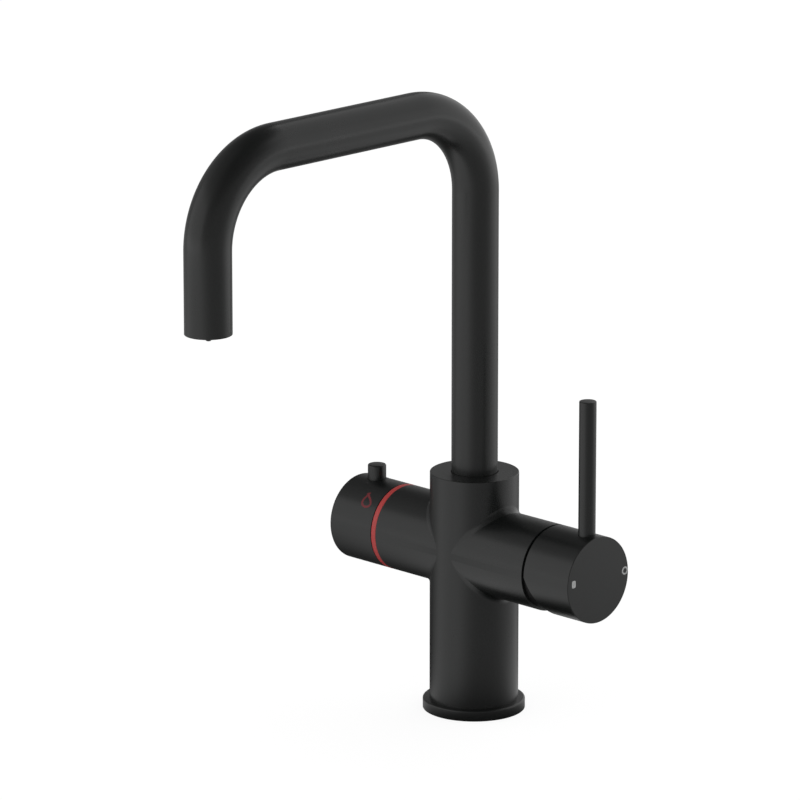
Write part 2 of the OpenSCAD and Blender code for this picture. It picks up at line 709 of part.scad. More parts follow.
module valve_washer() color(rubber) on_valve(valve_face_l)
    ring(valve_washer_t, valve_hex + 2 * washer_rim, valve_bore_d + 2 * fit_gap);
washer_rim = 0.5;

module valve_body() color(brass) difference() {
    union() {
        on_valve(valve_disc_l) cylinder(d = nose_d, h = valve_thread_l - valve_disc_l + over);
        on_valve(valve_thread_l + fit_gap) cylinder(d = valve_bore_d, h = hex_l - valve_thread_l);
        on_valve(hex_l) cylinder(d = valve_hex / cos(30), h = valve_hex_h, $fn = 6);
        on_valve(hex_l) turned(valve_hex_h + valve_neck_h, valve_neck_d, 0, edge_break);
    }
    on_valve(valve_disc_l - over) cylinder(d = valve_disc_d + 2 * run_gap, h = over + valve_chamber_h);
    on_valve(valve_disc_l) cylinder(d = spindle_d + 2 * run_gap, h = knob_end_l);
    on_valve(tang_l + over + valve_window / 2) for (turn = [0, 90]) rotate([0, 0, turn])
        cube([nose_d + over, valve_window, valve_window], center = true);
}
tang_l = valve_disc_l + 2 * valve_disc_t + 2 * run_gap;
valve_window = 4.2;
valve_chamber_h = nose_h - seat_seal_t;

module stop_sleeve() color(steel) difference() {
    on_valve(hex_end_l) turned(sleeve_end_l - hex_end_l, sleeve_d);
    on_valve(hex_end_l - over) cylinder(d = valve_neck_d + 2 * fit_gap, h = valve_neck_h + over);
    on_valve(valve_neck_end_l - over) cylinder(d = sleeve_bore_d, h = sleeve_end_l);
    on_valve(button_l) rotate([0, 0, -knob_turn - slot_margin_angle])
        rotate_extrude(angle = knob_turn + 2 * slot_margin_angle)
        translate([0, -slot_w / 2]) square([sleeve_d, slot_w]);
}
slot_w = button_stem_d + 2 * free_gap;
slot_margin_angle = asin((slot_w / 2) / (sleeve_bore_d / 2));

module red_ring() color(ring_red) on_valve(boil_arm_l) difference() {
    turned(ring_w, arm_d, edge_break / 2, edge_break / 2);
    translate([0, 0, -over]) cylinder(d = ring_bore_d + 2 * fit_gap, h = ring_w + 2 * over);
}

module spline(d, h) linear_extrude(height = h) polygon([
    for (i = [0:2 * spline_teeth - 1]) let (r = d / 2 - (i % 2) * spline_depth, a = i * 180 / spline_teeth)
        [r * cos(a), r * sin(a)]
]);
spline_depth = 0.5;
spline_d = spindle_d - 2 * spline_depth;

module valve_spindle() color(brass) difference() {
    union() {
        on_valve(tang_l) cylinder(d = valve_disc_d, h = tang_h);
        on_valve(tang_l + tang_h / 2)
            cylinder(d = spindle_d, h = valve_neck_end_l - tang_l - tang_h / 2 + fit_gap);
        on_valve(valve_neck_end_l) spline(spline_d, spline_end_l - valve_neck_end_l);
    }
    on_valve(spindle_ring_l)
        ring(spindle_ring_t + 2 * fit_gap, spindle_d + over, spindle_d - 2 * spindle_ring_t + 2 * fit_gap);
}
tang_h = 3.4;
spindle_ring_t = 1.4;
spindle_ring_l = valve_thread_l + valve_thread_h / 2;

module spindle_ring() color(rubber) on_valve(spindle_ring_l + spindle_ring_t / 2 + fit_gap)
    rubber_ring(spindle_d - spindle_ring_t + 2 * (fit_gap - run_gap),
        spindle_ring_t - 2 * (fit_gap + run_gap));

// Boiling knob

module knob_shell() color(satin_black) difference() {
    union() {
        difference() {
            on_valve(knob_l) turned(knob_end_l - knob_l, arm_d, edge_break / 2, edge_break);
            on_valve(knob_l - over) cylinder(d = arm_d - 2 * knob_wall, h = knob_solid_l - knob_l + over);
        }
        intersection() {
            translate([-button_l, 0, arm_h + boss_floor_r]) cylinder(d = boss_d, h = knob_r - boss_floor_r);
            on_valve(knob_l + over) cylinder(d = arm_d - knob_wall, h = knob_solid_l - knob_l);
        }
    }
    on_valve(knob_solid_l - over)
        cylinder(d = insert_d + 2 * fit_gap, h = knob_end_t - knob_wall + over);
    translate([-button_l, 0, arm_h]) {
        translate([0, 0, boss_floor_r - over]) cylinder(d = button_stem_d + 2 * run_gap, h = knob_r);
        translate([0, 0, boss_floor_r + boss_floor_t]) cylinder(d = button_d + free_gap, h = knob_r);
    }
    translate([-knob_screw_l, 0, arm_h]) mirror([0, 0, 1])
        cylinder(d = knob_screw_d + 2 * fit_gap, h = arm_d);
}
knob_screw_l = knob_solid_l + knob_screw_d / 2 + free_gap;

module knob_insert() color(white_plastic) difference() {
    on_valve(valve_neck_end_l + free_gap)
        turned(knob_end_l - knob_wall - valve_neck_end_l - free_gap - fit_gap, insert_d);
    on_valve(valve_neck_end_l) spline(spline_d + 2 * fit_gap, spline_end_l - valve_neck_end_l + fit_gap);
}

module knob_screw() color(steel)
    translate([-knob_screw_l, 0, arm_h - insert_d / 2 - knob_screw_h - 2 * fit_gap])
    headless_screw(knob_screw_h, knob_screw_d, 0, knob_screw_d / 2);
knob_screw_h = 7;

module lock_button() color(satin_black) translate([-button_l, 0, arm_h]) difference() {
    union() {
        translate([0, 0, button_head_r])
            turned(knob_r + button_out - button_head_r, button_d, edge_break, 2 * edge_break);
        translate([0, 0, button_foot_r])
            turned(button_head_r - button_foot_r + over, button_stem_d, edge_break, 0);
    }
    translate([0, 0, clip_r - fit_gap / 2])
        ring(clip_t + fit_gap, button_stem_d + over, button_stem_d - 2 * clip_groove + fit_gap);
}
clip_groove = 0.6;

module button_clip() color(steel) translate([-button_l, 0, arm_h + clip_r]) difference() {
    ring(clip_t, button_stem_d + 2 * clip_rim, button_stem_d - 2 * clip_groove + 2 * fit_gap);
    translate([0, -button_stem_d / 4, -over]) cube([button_stem_d, button_stem_d / 2, clip_t + 2 * over]);
}

clip_rim = 1.5;

// A coil spring as one tube of six sides, swept along a helix
function coil_point(t, r, pitch) = [r * cos(360 * t), r * sin(360 * t), pitch * t];
module coil(r, pitch, turns, wire) {
    steps = ceil(turns * coil_steps);
    sides = 6;
    points = [for (i = [0:steps], k = [0:sides - 1])
        let (t = turns * i / steps, a = 360 * t, b = 360 * k / sides)
            coil_point(t, r, pitch) + wire / 2 * [cos(b) * cos(a), cos(b) * sin(a), sin(b)]];
    walls = [for (i = [0:steps - 1], k = [0:sides - 1])
        let (p = i * sides + k, q = i * sides + (k + 1) % sides)
            each [[p, q, q + sides], [p, q + sides, p + sides]]];
    ends = [[for (k = [sides - 1:-1:0]) k], [for (k = [0:sides - 1]) steps * sides + k]];
    polyhedron(points = points, faces = concat(walls, ends));
}
coil_steps = 16;

module button_spring() color(steel)
    translate([-button_l, 0, arm_h + boss_floor_r + boss_floor_t + spring_wire / 2 + fit_gap / 2])
    coil((button_d + button_stem_d) / 4, spring_h / spring_turns, spring_turns, spring_wire);
spring_h = button_head_r - boss_floor_r - boss_floor_t - spring_wire - fit_gap;

// Spout

// A pipe along the spout's route: up, over and down. The ends are given as heights.
module spout_route(d, low_z, end_z) {
    rise = spout_h - bend_r;
    translate([0, 0, low_z]) cylinder(d = d, h = rise - low_z);
    translate([0, -bend_r, rise]) rotate([90, 0, 90])
        rotate_extrude(angle = 90) translate([bend_r, 0]) circle(d = d);
    translate([0, -bend_r, spout_h]) rotate([90, 0, 0]) cylinder(d = d, h = spout_reach - 2 * bend_r);
    translate([0, bend_r - spout_reach, rise]) rotate([90, 0, 90]) rotate([0, 0, 90])
        rotate_extrude(angle = 90) translate([bend_r, 0]) circle(d = d);
    translate([0, -spout_reach, end_z]) cylinder(d = d, h = rise - end_z);
}

module spout_tube() color(satin_black) difference() {
    spout_route(spout_d, tube_z, outlet_h);
    spout_route(spout_d - 2 * spout_wall, tube_z - over, outlet_h - over);
}
tube_bore_d = spout_d - 2 * spout_wall;

module groove(z, h, d) translate([0, 0, z - h / 2]) ring(h, stem_d + over, d);

module spout_stem() color(brass) difference() {
    union() {
        translate([0, 0, stem_z]) turned(stem_shoulder_z - stem_z + edge_break, stem_d, edge_break, 0);
        translate([0, 0, stem_shoulder_z]) cylinder(d = spout_d - fit_gap, h = tube_z - stem_shoulder_z);
        translate([0, 0, stem_shoulder_z])
            turned(tube_z - stem_shoulder_z + stem_spigot_h, tube_bore_d - 2 * fit_gap, 0, edge_break);
    }
    translate([0, 0, stem_z - over]) cylinder(d = stem_bore_d, h = socket_h + stem_spigot_h);
    for (z = stem_ring_zs) groove(z, stem_ring_t + 2 * fit_gap, stem_d - 2 * stem_ring_t + 2 * fit_gap);
    groove(keeper_z, keeper_groove_h, keeper_groove_d);
}
stem_shoulder_h = 2;
stem_shoulder_z = tube_z - stem_shoulder_h;
stem_spigot_h = 12;

module stem_rings() color(rubber) for (z = stem_ring_zs) translate([0, 0, z])
    rubber_ring(stem_d - stem_ring_t + 2 * fit_gap + fit_gap, stem_ring_t);

module hose_plug() color(white_plastic) difference() {
    union() {
        translate([0, 0, plug_z]) turned(plug_top - plug_z, plug_d);
        translate([0, 0, plug_top - over])
            turned(barb_h + over, hose_d - 2 * hose_wall - 2 * fit_gap, 0, edge_break);
    }
    translate([0, 0, plug_z - over])
        cylinder(d = nipple_d + 2 * run_gap, h = socket_z + nipple_h + free_gap - plug_z + over);
    translate([0, 0, plug_z]) cylinder(d = barb_bore_d, h = socket_h);
}
plug_z = socket_z + nipple_hex_h + free_gap;
plug_top = plug_z + nipple_h;
barb_h = 6;
barb_bore_d = 3;

module boiling_hose() color("#d8d8d2") difference() {
    spout_route(hose_d, plug_top + fit_gap, nozzle_top);
    spout_route(hose_d - 2 * hose_wall, plug_top - over, nozzle_top - over);
}

module at_outlet(z) translate([0, -spout_reach, z]) children();

module outlet_collar() color(brass) at_outlet(outlet_h + free_gap)
    ring(collar_h, tube_bore_d - 2 * fit_gap, tube_bore_d - 2 * fit_gap - 2 * collar_wall);

module aerator_cup() color("#3a3b3a") at_outlet(outlet_h + 2 * free_gap) difference() {
    turned(aerator_h, aerator_d);
    translate([0, 0, grid_t]) cylinder(d = aerator_d - 2 * aerator_wall, h = aerator_h);
    translate([0, 0, -over]) cylinder(d = tip_d + 2 * fit_gap, h = grid_t + 2 * over);
    for (row = [0:2]) let (r = tip_d / 2 + grid_pitch * (row + 1), n = 8 + 6 * row)
        for (i = [0:n - 1]) rotate([0, 0, 360 * i / n]) translate([r, 0, -over])
            cylinder(d = grid_hole_d, h = grid_t + 2 * over, $fn = 24);
}
grid_share = 3.6;
aerator_d = tube_bore_d - 2 * collar_wall - 4 * fit_gap;
grid_pitch = (aerator_d / 2 - aerator_wall - tip_d / 2) / grid_share;

module aerator_seal() color(rubber) at_outlet(outlet_h + 2 * free_gap + aerator_h)
    ring(aerator_seal_t, aerator_d, aerator_d - 2 * aerator_seal_w);
aerator_seal_t = 2;
aerator_seal_w = 2.5;

module boiling_nozzle() color(brass) difference() {
    union() {
        at_outlet(outlet_h - tip_drop) turned(nozzle_z - outlet_h + tip_drop + over, tip_d, edge_break, 0);
        at_outlet(nozzle_z) turned(nozzle_top - nozzle_z - fit_gap, hose_d);
        at_outlet(nozzle_top - over)
            turned(barb_h + over, hose_d - 2 * hose_wall - 2 * fit_gap, 0, edge_break);
    }
    at_outlet(outlet_h - tip_drop - over) cylinder(d = tip_d / 2, h = collar_h + barb_h + tip_drop);
}
nozzle_z = outlet_h + 2 * free_gap + grid_t + fit_gap;
nozzle_body_h = 4;
nozzle_top = nozzle_z + nozzle_body_h;

body_casting();
base_flange();
base_seal();
hose_block();
hose_block_ring();
spout_bushes();
spout_keeper_screw();
boiling_nipple();
cartridge_port_rings();
cartridge_base();
fixed_disc();
cartridge_housing();
cartridge_nut();
domed_cover();
valve_seat_seal();
valve_fixed_disc();
valve_washer();
valve_body();
stop_sleeve();
red_ring();
spout_tube();
spout_stem();
stem_rings();
hose_plug();
boiling_hose();
outlet_collar();
aerator_seal();
aerator_cup();
boiling_nozzle();
cartridge_rotor();
stem_pin();
disc_carrier();
sliding_disc();
lever_stem();
mixer_cap();
lever_rod();
cap_screw();
knob_shell();
knob_insert();
valve_spindle();
spindle_ring();
valve_turning_disc();
knob_screw();
lock_button();
button_spring();
button_clip();
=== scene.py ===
import json
import math

import bmesh
import bpy
from mathutils import Matrix, Vector
from mathutils.kdtree import KDTree

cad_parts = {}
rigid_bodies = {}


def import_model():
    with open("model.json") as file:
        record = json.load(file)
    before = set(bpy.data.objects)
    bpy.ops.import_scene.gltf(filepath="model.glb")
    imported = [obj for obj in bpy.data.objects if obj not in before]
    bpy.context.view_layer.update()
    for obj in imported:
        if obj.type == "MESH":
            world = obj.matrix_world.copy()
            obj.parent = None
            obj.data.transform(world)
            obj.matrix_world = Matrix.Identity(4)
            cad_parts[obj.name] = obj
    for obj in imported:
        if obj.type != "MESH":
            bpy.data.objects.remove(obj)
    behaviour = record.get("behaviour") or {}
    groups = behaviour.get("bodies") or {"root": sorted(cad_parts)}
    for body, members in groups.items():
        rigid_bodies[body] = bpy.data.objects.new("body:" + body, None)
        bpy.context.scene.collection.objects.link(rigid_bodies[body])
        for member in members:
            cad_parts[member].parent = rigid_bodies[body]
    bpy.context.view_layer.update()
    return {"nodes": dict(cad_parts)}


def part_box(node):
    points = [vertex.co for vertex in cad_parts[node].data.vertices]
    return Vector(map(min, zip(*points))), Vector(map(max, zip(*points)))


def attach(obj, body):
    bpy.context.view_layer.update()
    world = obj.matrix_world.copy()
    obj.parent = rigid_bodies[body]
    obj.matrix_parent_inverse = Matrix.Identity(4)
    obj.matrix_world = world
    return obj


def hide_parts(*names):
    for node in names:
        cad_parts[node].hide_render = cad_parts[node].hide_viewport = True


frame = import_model()

# Camera
# A long lens looks a little down on the tap from the mixer's side, so that the
# spout, both handles and the front of the barrel all show.
camera_data = bpy.data.cameras.new("camera")
camera_data.sensor_width = 36.0
camera_data.lens = 280.957
camera = bpy.data.objects.new("camera", camera_data)
bpy.context.scene.collection.objects.link(camera)
camera.location = (2.33554, -2.41718, 1.07835)
view_target = Vector((-0.02960, -0.02932, 0.17893))
camera.rotation_euler = (view_target - camera.location).to_track_quat("-Z", "Y").to_euler()
bpy.context.scene.camera = camera
bpy.context.scene.view_settings.view_transform = "Standard"

# White sheet and room
# The tap stands on a matt white sheet in a white room. The sheet keeps the tap's soft shadow, and in the
# tap's gloss alone it glows with painted light and painted shadow. In the tap's gloss the ceiling is dim
# and one wall is brighter.
lit_way = Vector((-0.6, -0.8, 0.0))
unlit_way = Vector((0.961, -0.276, 0.0))
dim_way = Vector((-0.857, 0.515, 0.0))
# Centres of a painted shadow in front of the tap and a painted shade behind it to the right, on the
# sheet as the gloss shows it.
shadow_spot = Vector((0.025, -0.022, 0.0))
shade_spot = Vector((0.14, 0.20, 0.0))


def math_node(tree, operation, first, second, clamp=False):
    """One sum in a node tree, of two sockets or numbers."""
    node = tree.nodes.new("ShaderNodeMath")
    node.operation = operation
    node.use_clamp = clamp
    for plug, value in zip(node.inputs, (first, second)):
        if isinstance(value, bpy.types.NodeSocket):
            tree.links.new(value, plug)
        else:
            plug.default_value = value
    return node.outputs[0]


def fade(tree, value, low, high, at_low, at_high):
    """A soft passage from one strength to another as a value grows."""
    node = tree.nodes.new("ShaderNodeMapRange")
    node.interpolation_type = "SMOOTHSTEP"
    for plug, number in zip(("From Min", "From Max", "To Min", "To Max"), (low, high, at_low, at_high)):
        node.inputs[plug].default_value = number
    tree.links.new(value, node.inputs["Value"])
    return node.outputs["Result"]


def towards(tree, place, way):
    """How far a flat direction from the tap agrees with way, from -1 to 1."""
    flat = tree.nodes.new("ShaderNodeVectorMath")
    flat.operation = "MULTIPLY"
    flat.inputs[1].default_value = (1, 1, 0)
    unit = tree.nodes.new("ShaderNodeVectorMath")
    unit.operation = "NORMALIZE"
    dot = tree.nodes.new("ShaderNodeVectorMath")
    dot.operation = "DOT_PRODUCT"
    dot.inputs[1].default_value = way
    tree.links.new(place, flat.inputs[0])
    tree.links.new(flat.outputs[0], unit.inputs[0])
    tree.links.new(unit.outputs[0], dot.inputs[0])
    return dot.outputs["Value"]


def distance_from(tree, place, spot):
    """How far a place is from a spot on the sheet."""
    node = tree.nodes.new("ShaderNodeVectorMath")
    node.operation = "DISTANCE"
    node.inputs[1].default_value = spot
    tree.links.new(place, node.inputs[0])
    return node.outputs["Value"]


def in_mirror(tree, seen_by):
    """1 for a ray that comes off a gloss or through glass, and 0 for any other."""
    return math_node(tree, "ADD", seen_by.outputs["Is Glossy Ray"],
        seen_by.outputs["Is Transmission Ray"], True)


high_ceiling, low_ceiling = 0.4, 0.8
dark_wall, lit_wall, wall_foot = 0.12, 0.40, 0.31
zenith_glow, horizon_glow = 0.32, 1.40
room = bpy.data.worlds.new("white_room")
bpy.context.scene.world = room
room.use_nodes = True
tree = room.node_tree
tree.nodes.clear()
seen_by = tree.nodes.new("ShaderNodeLightPath")
where = tree.nodes.new("ShaderNodeTexCoord").outputs["Generated"]
apart = tree.nodes.new("ShaderNodeSeparateXYZ")
tree.links.new(where, apart.inputs[0])
ceiling = fade(tree, apart.outputs["Z"], 0.5, 1.0, low_ceiling, high_ceiling)
wall = fade(tree, towards(tree, where, lit_way), 0.0, 1.0, dark_wall, lit_wall)
low_wall = fade(tree, apart.outputs["Z"], 0.30, 0.50, wall_foot, dark_wall)
mirrored = in_mirror(tree, seen_by)
whole_wall = math_node(tree, "MAXIMUM", wall, low_wall)
backdrop = math_node(tree, "MULTIPLY", math_node(tree, "MULTIPLY", whole_wall, ceiling), mirrored)
overhead = fade(tree, apart.outputs["Z"], 0.0, 1.0, horizon_glow, zenith_glow)
ambient = math_node(tree, "MULTIPLY", math_node(tree, "SUBTRACT", 1.0, mirrored), overhead)
elsewhere = math_node(tree, "MULTIPLY", math_node(tree, "ADD", backdrop, ambient),
    math_node(tree, "SUBTRACT", 1.0, seen_by.outputs["Is Camera Ray"]))
glow = tree.nodes.new("ShaderNodeBackground")
glow.inputs["Color"].default_value = (1, 1, 1, 1)
strength = math_node(tree, "ADD", elsewhere, seen_by.outputs["Is Camera Ray"])
tree.links.new(strength, glow.inputs["Strength"])
tree.links.new(glow.outputs[0], tree.nodes.new("ShaderNodeOutputWorld").inputs["Surface"])

sheet_half = 6.0
sheet_glow = 0.87
bounced_grey, seen_grey = (0.55, 0.55, 0.55, 1), (0.20, 0.20, 0.20, 1)
# In the gloss the sheet is painted a much darker grey than its own: painted shade in its reflection.
mirror_shade_grey = (0.06, 0.06, 0.06, 1)
sheet_mesh = bpy.data.meshes.new("sheet")
sheet_build = bmesh.new()
bmesh.ops.create_grid(sheet_build, x_segments=1, y_segments=1, size=sheet_half)
sheet_build.to_mesh(sheet_mesh)
sheet_build.free()
sheet = bpy.data.objects.new("sheet", sheet_mesh)
bpy.context.scene.collection.objects.link(sheet)
paper = bpy.data.materials.new("white_paper")
paper.use_nodes = True
tree = paper.node_tree
tree.nodes.clear()
seen_by = tree.nodes.new("ShaderNodeLightPath")
where = tree.nodes.new("ShaderNodeTexCoord").outputs["Object"]
mirrored = in_mirror(tree, seen_by)
# Painted light and shade on the sheet, seen only in the gloss: darker towards the unlit side and the dim
# side near the tap, lighter far off, with a painted shadow and a painted shade near the tap.
unlit = fade(tree, towards(tree, where, unlit_way), 0.30, 1.0, 0.64, 0.25)
far_off = fade(tree, distance_from(tree, where, (0, 0, 0)), 0.15, 0.70, 0.0, 0.45)
dim_side = fade(tree, towards(tree, where, dim_way), 0.25, 0.95, 1.0, 0.0)
dimmed = math_node(tree, "MAXIMUM", dim_side, far_off)
shadow = fade(tree, distance_from(tree, where, shadow_spot), 0.014, 0.078, 0.0, 1.0)
shade = fade(tree, distance_from(tree, where, shade_spot), 0.04, 0.16, 0.65, 1.0)
shadowed = math_node(tree, "MULTIPLY", shadow, shade)
painted_mirror_light = math_node(tree, "MULTIPLY", math_node(tree, "MULTIPLY", unlit, dimmed),
    math_node(tree, "MULTIPLY", shadowed, mirrored))
seen_glow = math_node(tree, "MULTIPLY", seen_by.outputs["Is Camera Ray"], sheet_glow)
shade_mix = tree.nodes.new("ShaderNodeMix")
shade_mix.data_type = "RGBA"
shade_mix.inputs["A"].default_value = bounced_grey
shade_mix.inputs["B"].default_value = seen_grey
tree.links.new(seen_by.outputs["Is Camera Ray"], shade_mix.inputs["Factor"])
mirror_mix = tree.nodes.new("ShaderNodeMix")
mirror_mix.data_type = "RGBA"
mirror_mix.inputs["B"].default_value = mirror_shade_grey
tree.links.new(shade_mix.outputs["Result"], mirror_mix.inputs["A"])
tree.links.new(mirrored, mirror_mix.inputs["Factor"])
matt = tree.nodes.new("ShaderNodeBsdfDiffuse")
tree.links.new(mirror_mix.outputs["Result"], matt.inputs["Color"])
own = tree.nodes.new("ShaderNodeEmission")
# The sheet glows an even white for the camera, and with painted light and shadow for the gloss.
tree.links.new(math_node(tree, "ADD", painted_mirror_light, seen_glow), own.inputs["Strength"])
both = tree.nodes.new("ShaderNodeAddShader")
tree.links.new(matt.outputs[0], both.inputs[0])
tree.links.new(own.outputs[0], both.inputs[1])
tree.links.new(both.outputs[0], tree.nodes.new("ShaderNodeOutputMaterial").inputs["Surface"])
sheet_mesh.materials.append(paper)

# Soft panels
# Two large soft panels light the tap: one along its left side, and one behind it
# to the right, which draws the bright edges.
camera_side, off_sheet = -46, 0.02


def soft_panel(name, turn, distance, width, height, brightness):
    """A soft panel just off the sheet, turned in degrees round the tap from the camera's side."""
    side = math.radians(camera_side + turn)
    lamp_data = bpy.data.lights.new(name, "AREA")
    lamp_data.shape = "RECTANGLE"
    lamp_data.size = width
    lamp_data.size_y = height
    lamp_data.energy = brightness * math.pi * width * height
    lamp = bpy.data.objects.new(name, lamp_data)
    lamp.location = (distance * math.cos(side), distance * math.sin(side), height / 2 + off_sheet)
    inwards = Vector((-math.cos(side), -math.sin(side), 0))
    lamp.rotation_euler = inwards.to_track_quat("-Z", "Y").to_euler()
    lamp.visible_camera = False
    bpy.context.scene.collection.objects.link(lamp)


soft_panel("left_panel", -72, 1.5, 2.6, 1.30, 0.37)
soft_panel("back_panel", 127, 1.5, 3.2, 2.6, 0.54)

# Body casting
# The barrel and both arms are one brass casting, turned outside, with a small
# fillet where each arm grows out of the barrel. It is bored and drilled for the
# shank, the hoses, the spout, the cartridge and the valve, and powder coated.


def texture_group(name, build):
    """A shader group that turns the object's coordinates into a tone, a gloss and a relief."""
    group = bpy.data.node_groups.new(name, "ShaderNodeTree")
    for plug in ("Coarse", "Fine"):
        group.interface.new_socket(plug, in_out="INPUT", socket_type="NodeSocketFloat")
    for plug in ("Along", "Through"):
        group.interface.new_socket(plug, in_out="INPUT", socket_type="NodeSocketVector")
    for plug in ("Tone", "Gloss", "Relief"):
        group.interface.new_socket(plug, in_out="OUTPUT", socket_type="NodeSocketFloat")
    given = group.nodes.new("NodeGroupInput")
    result = group.nodes.new("NodeGroupOutput")
    coords = group.nodes.new("ShaderNodeTexCoord")
    build(group, given.outputs, coords.outputs["Object"], result.inputs)
    return group


def noise(group, vector, scale, detail):
    """A soft noise in a group, read at the given scale."""
    node = group.nodes.new("ShaderNodeTexNoise")
    node.inputs["Detail"].default_value = detail
    node.inputs["Roughness"].default_value = 0.55
    group.links.new(vector, node.inputs["Vector"])
    group.links.new(scale, node.inputs["Scale"])
    return node.outputs["Fac"]


def blended(group, first, second, share):
    """first, with a share of second laid over it."""
    node = group.nodes.new("ShaderNodeMix")
    node.data_type = "FLOAT"
    node.inputs["Factor"].default_value = share
    group.links.new(first, node.inputs["A"])
    group.links.new(second, node.inputs["B"])
    return node.outputs["Result"]


def powder_grain(group, given, vector, result):
    """Pebbles of melted powder, with a slow drift in tone and gloss."""
    slow = noise(group, vector, given["Coarse"], 2.0)
    pebbles = noise(group, vector, given["Fine"], 3.0)
    group.links.new(blended(group, slow, pebbles, 0.35), result["Tone"])
    group.links.new(blended(group, slow, pebbles, 0.5), result["Gloss"])
    group.links.new(pebbles, result["Relief"])


powder_group = texture_group("powder_grain", powder_grain)


def finish(name, group, scales, tones, gloss, relief, along=(0, 0, 1), through=(0, 0, 0), **plain):
    """A material whose tone, roughness and fine relief come from one texture group."""
    made = bpy.data.materials.new(name)
    made.use_nodes = True
    nodes = made.node_tree.nodes
    links = made.node_tree.links
    shader = nodes["Principled BSDF"]
    for socket, value in plain.items():
        shader.inputs[socket.replace("_", " ")].default_value = value
    texture = nodes.new("ShaderNodeGroup")
    texture.node_tree = group
    for plug, value in zip(("Coarse", "Fine", "Along", "Through"), (*scales, along, through)):
        texture.inputs[plug].default_value = value
    colour = nodes.new("ShaderNodeMix")
    colour.data_type = "RGBA"
    colour.inputs["A"].default_value = (*tones[0], 1.0)
    colour.inputs["B"].default_value = (*tones[1], 1.0)
    links.new(texture.outputs["Tone"], colour.inputs["Factor"])
    links.new(colour.outputs["Result"], shader.inputs["Base Color"])
    rough = nodes.new("ShaderNodeMapRange")
    rough.inputs["From Min"].default_value = 0.3
    rough.inputs["From Max"].default_value = 0.7
    rough.inputs["To Min"].default_value = gloss[0]
    rough.inputs["To Max"].default_value = gloss[1]
    links.new(texture.outputs["Gloss"], rough.inputs["Value"])
    links.new(rough.outputs["Result"], shader.inputs["Roughness"])
    bump = nodes.new("ShaderNodeBump")
    bump.inputs["Distance"].default_value = relief
    links.new(texture.outputs["Relief"], bump.inputs["Height"])
    links.new(bump.outputs["Normal"], shader.inputs["Normal"])
    return made


satin_black = finish("satin_black", powder_group, (35.0, 2200.0),
    ((0.0046, 0.0053, 0.0050), (0.0066, 0.0075, 0.0071)), (0.26, 0.34), 0.000012, IOR=1.62)


def eased(outline, steps=5):
    """The outline, with each corner that has a radius, (r, z, radius), turned into an arc."""
    points = []
    for i, corner in enumerate(outline):
        here = Vector(corner[:2])
        if len(corner) < 3:
            points.append(here)
            continue
        before = (Vector(outline[i - 1][:2]) - here).normalized()
        after = (Vector(outline[(i + 1) % len(outline)][:2]) - here).normalized()
        radius = corner[2]
        half = before.angle(after) / 2
        reach = radius / math.tan(half)
        centre = here + (before + after).normalized() * radius / math.sin(half)
        first = here + before * reach - centre
        last = here + after * reach - centre
        for k in range(steps + 1):
            points.append(centre + first.slerp(last, k / steps, first).normalized() * radius)
    return points


weld = 1e-7
corner_angle = math.radians(32)


def turned(name, outline, closed=True, steps=192):
    """A mesh spun about Z from an outline of (r, z) corners."""
    build = bmesh.new()
    verts = [build.verts.new((p.x, 0.0, p.y)) for p in eased(outline)]
    edges = [build.edges.new((a, b)) for a, b in zip(verts, verts[1:])]
    if closed:
        edges.append(build.edges.new((verts[-1], verts[0])))
    bmesh.ops.spin(build, geom=verts + edges, cent=(0, 0, 0), axis=(0, 0, 1), angle=2 * math.pi,
        steps=steps, use_merge=True)
    bmesh.ops.remove_doubles(build, verts=build.verts, dist=weld)
    bmesh.ops.dissolve_degenerate(build, edges=build.edges, dist=weld)
    bmesh.ops.recalc_face_normals(build, faces=build.faces)
    return made_mesh(name, build)


def made_mesh(name, build):
    """The mesh of a finished bmesh, smooth but for its real corners."""
    mesh = bpy.data.meshes.new(name)
    build.to_mesh(mesh)
    build.free()
    mesh.polygons.foreach_set("use_smooth", [True] * len(mesh.polygons))
    mesh.set_sharp_from_angle(angle=corner_angle)
    return mesh


def drilled(start, way, radius, length, steps=48):
    """A drill of that radius, going in from start along way."""
    build = bmesh.new()
    turn = Vector((0, 0, 1)).rotation_difference(Vector(way)).to_matrix().to_4x4()
    middle = Vector(start) + Vector(way) * length / 2
    bmesh.ops.create_cone(build, cap_ends=True, segments=steps, radius1=radius, radius2=radius,
        depth=length, matrix=Matrix.Translation(middle) @ turn)
    return made_mesh("drill", build)


def combine(first, others, operation="DIFFERENCE"):
    """The exact union or difference of a closed mesh and several others, made in one go."""
    base = bpy.data.objects.new("base", first)
    bpy.context.scene.collection.objects.link(base)
    tools = bpy.data.collections.new("tools")
    bpy.context.scene.collection.children.link(tools)
    for mesh in others:
        tools.objects.link(bpy.data.objects.new("tool", mesh))
    cut = base.modifiers.new("cut", "BOOLEAN")
    cut.operation = operation
    cut.operand_type = "COLLECTION"
    cut.collection = tools
    cut.solver = "EXACT"
    result = bpy.data.meshes.new_from_object(base.evaluated_get(bpy.context.evaluated_depsgraph_get()))
    for thing in [base, *tools.objects]:
        bpy.data.objects.remove(thing)
    bpy.data.collections.remove(tools)
    return result


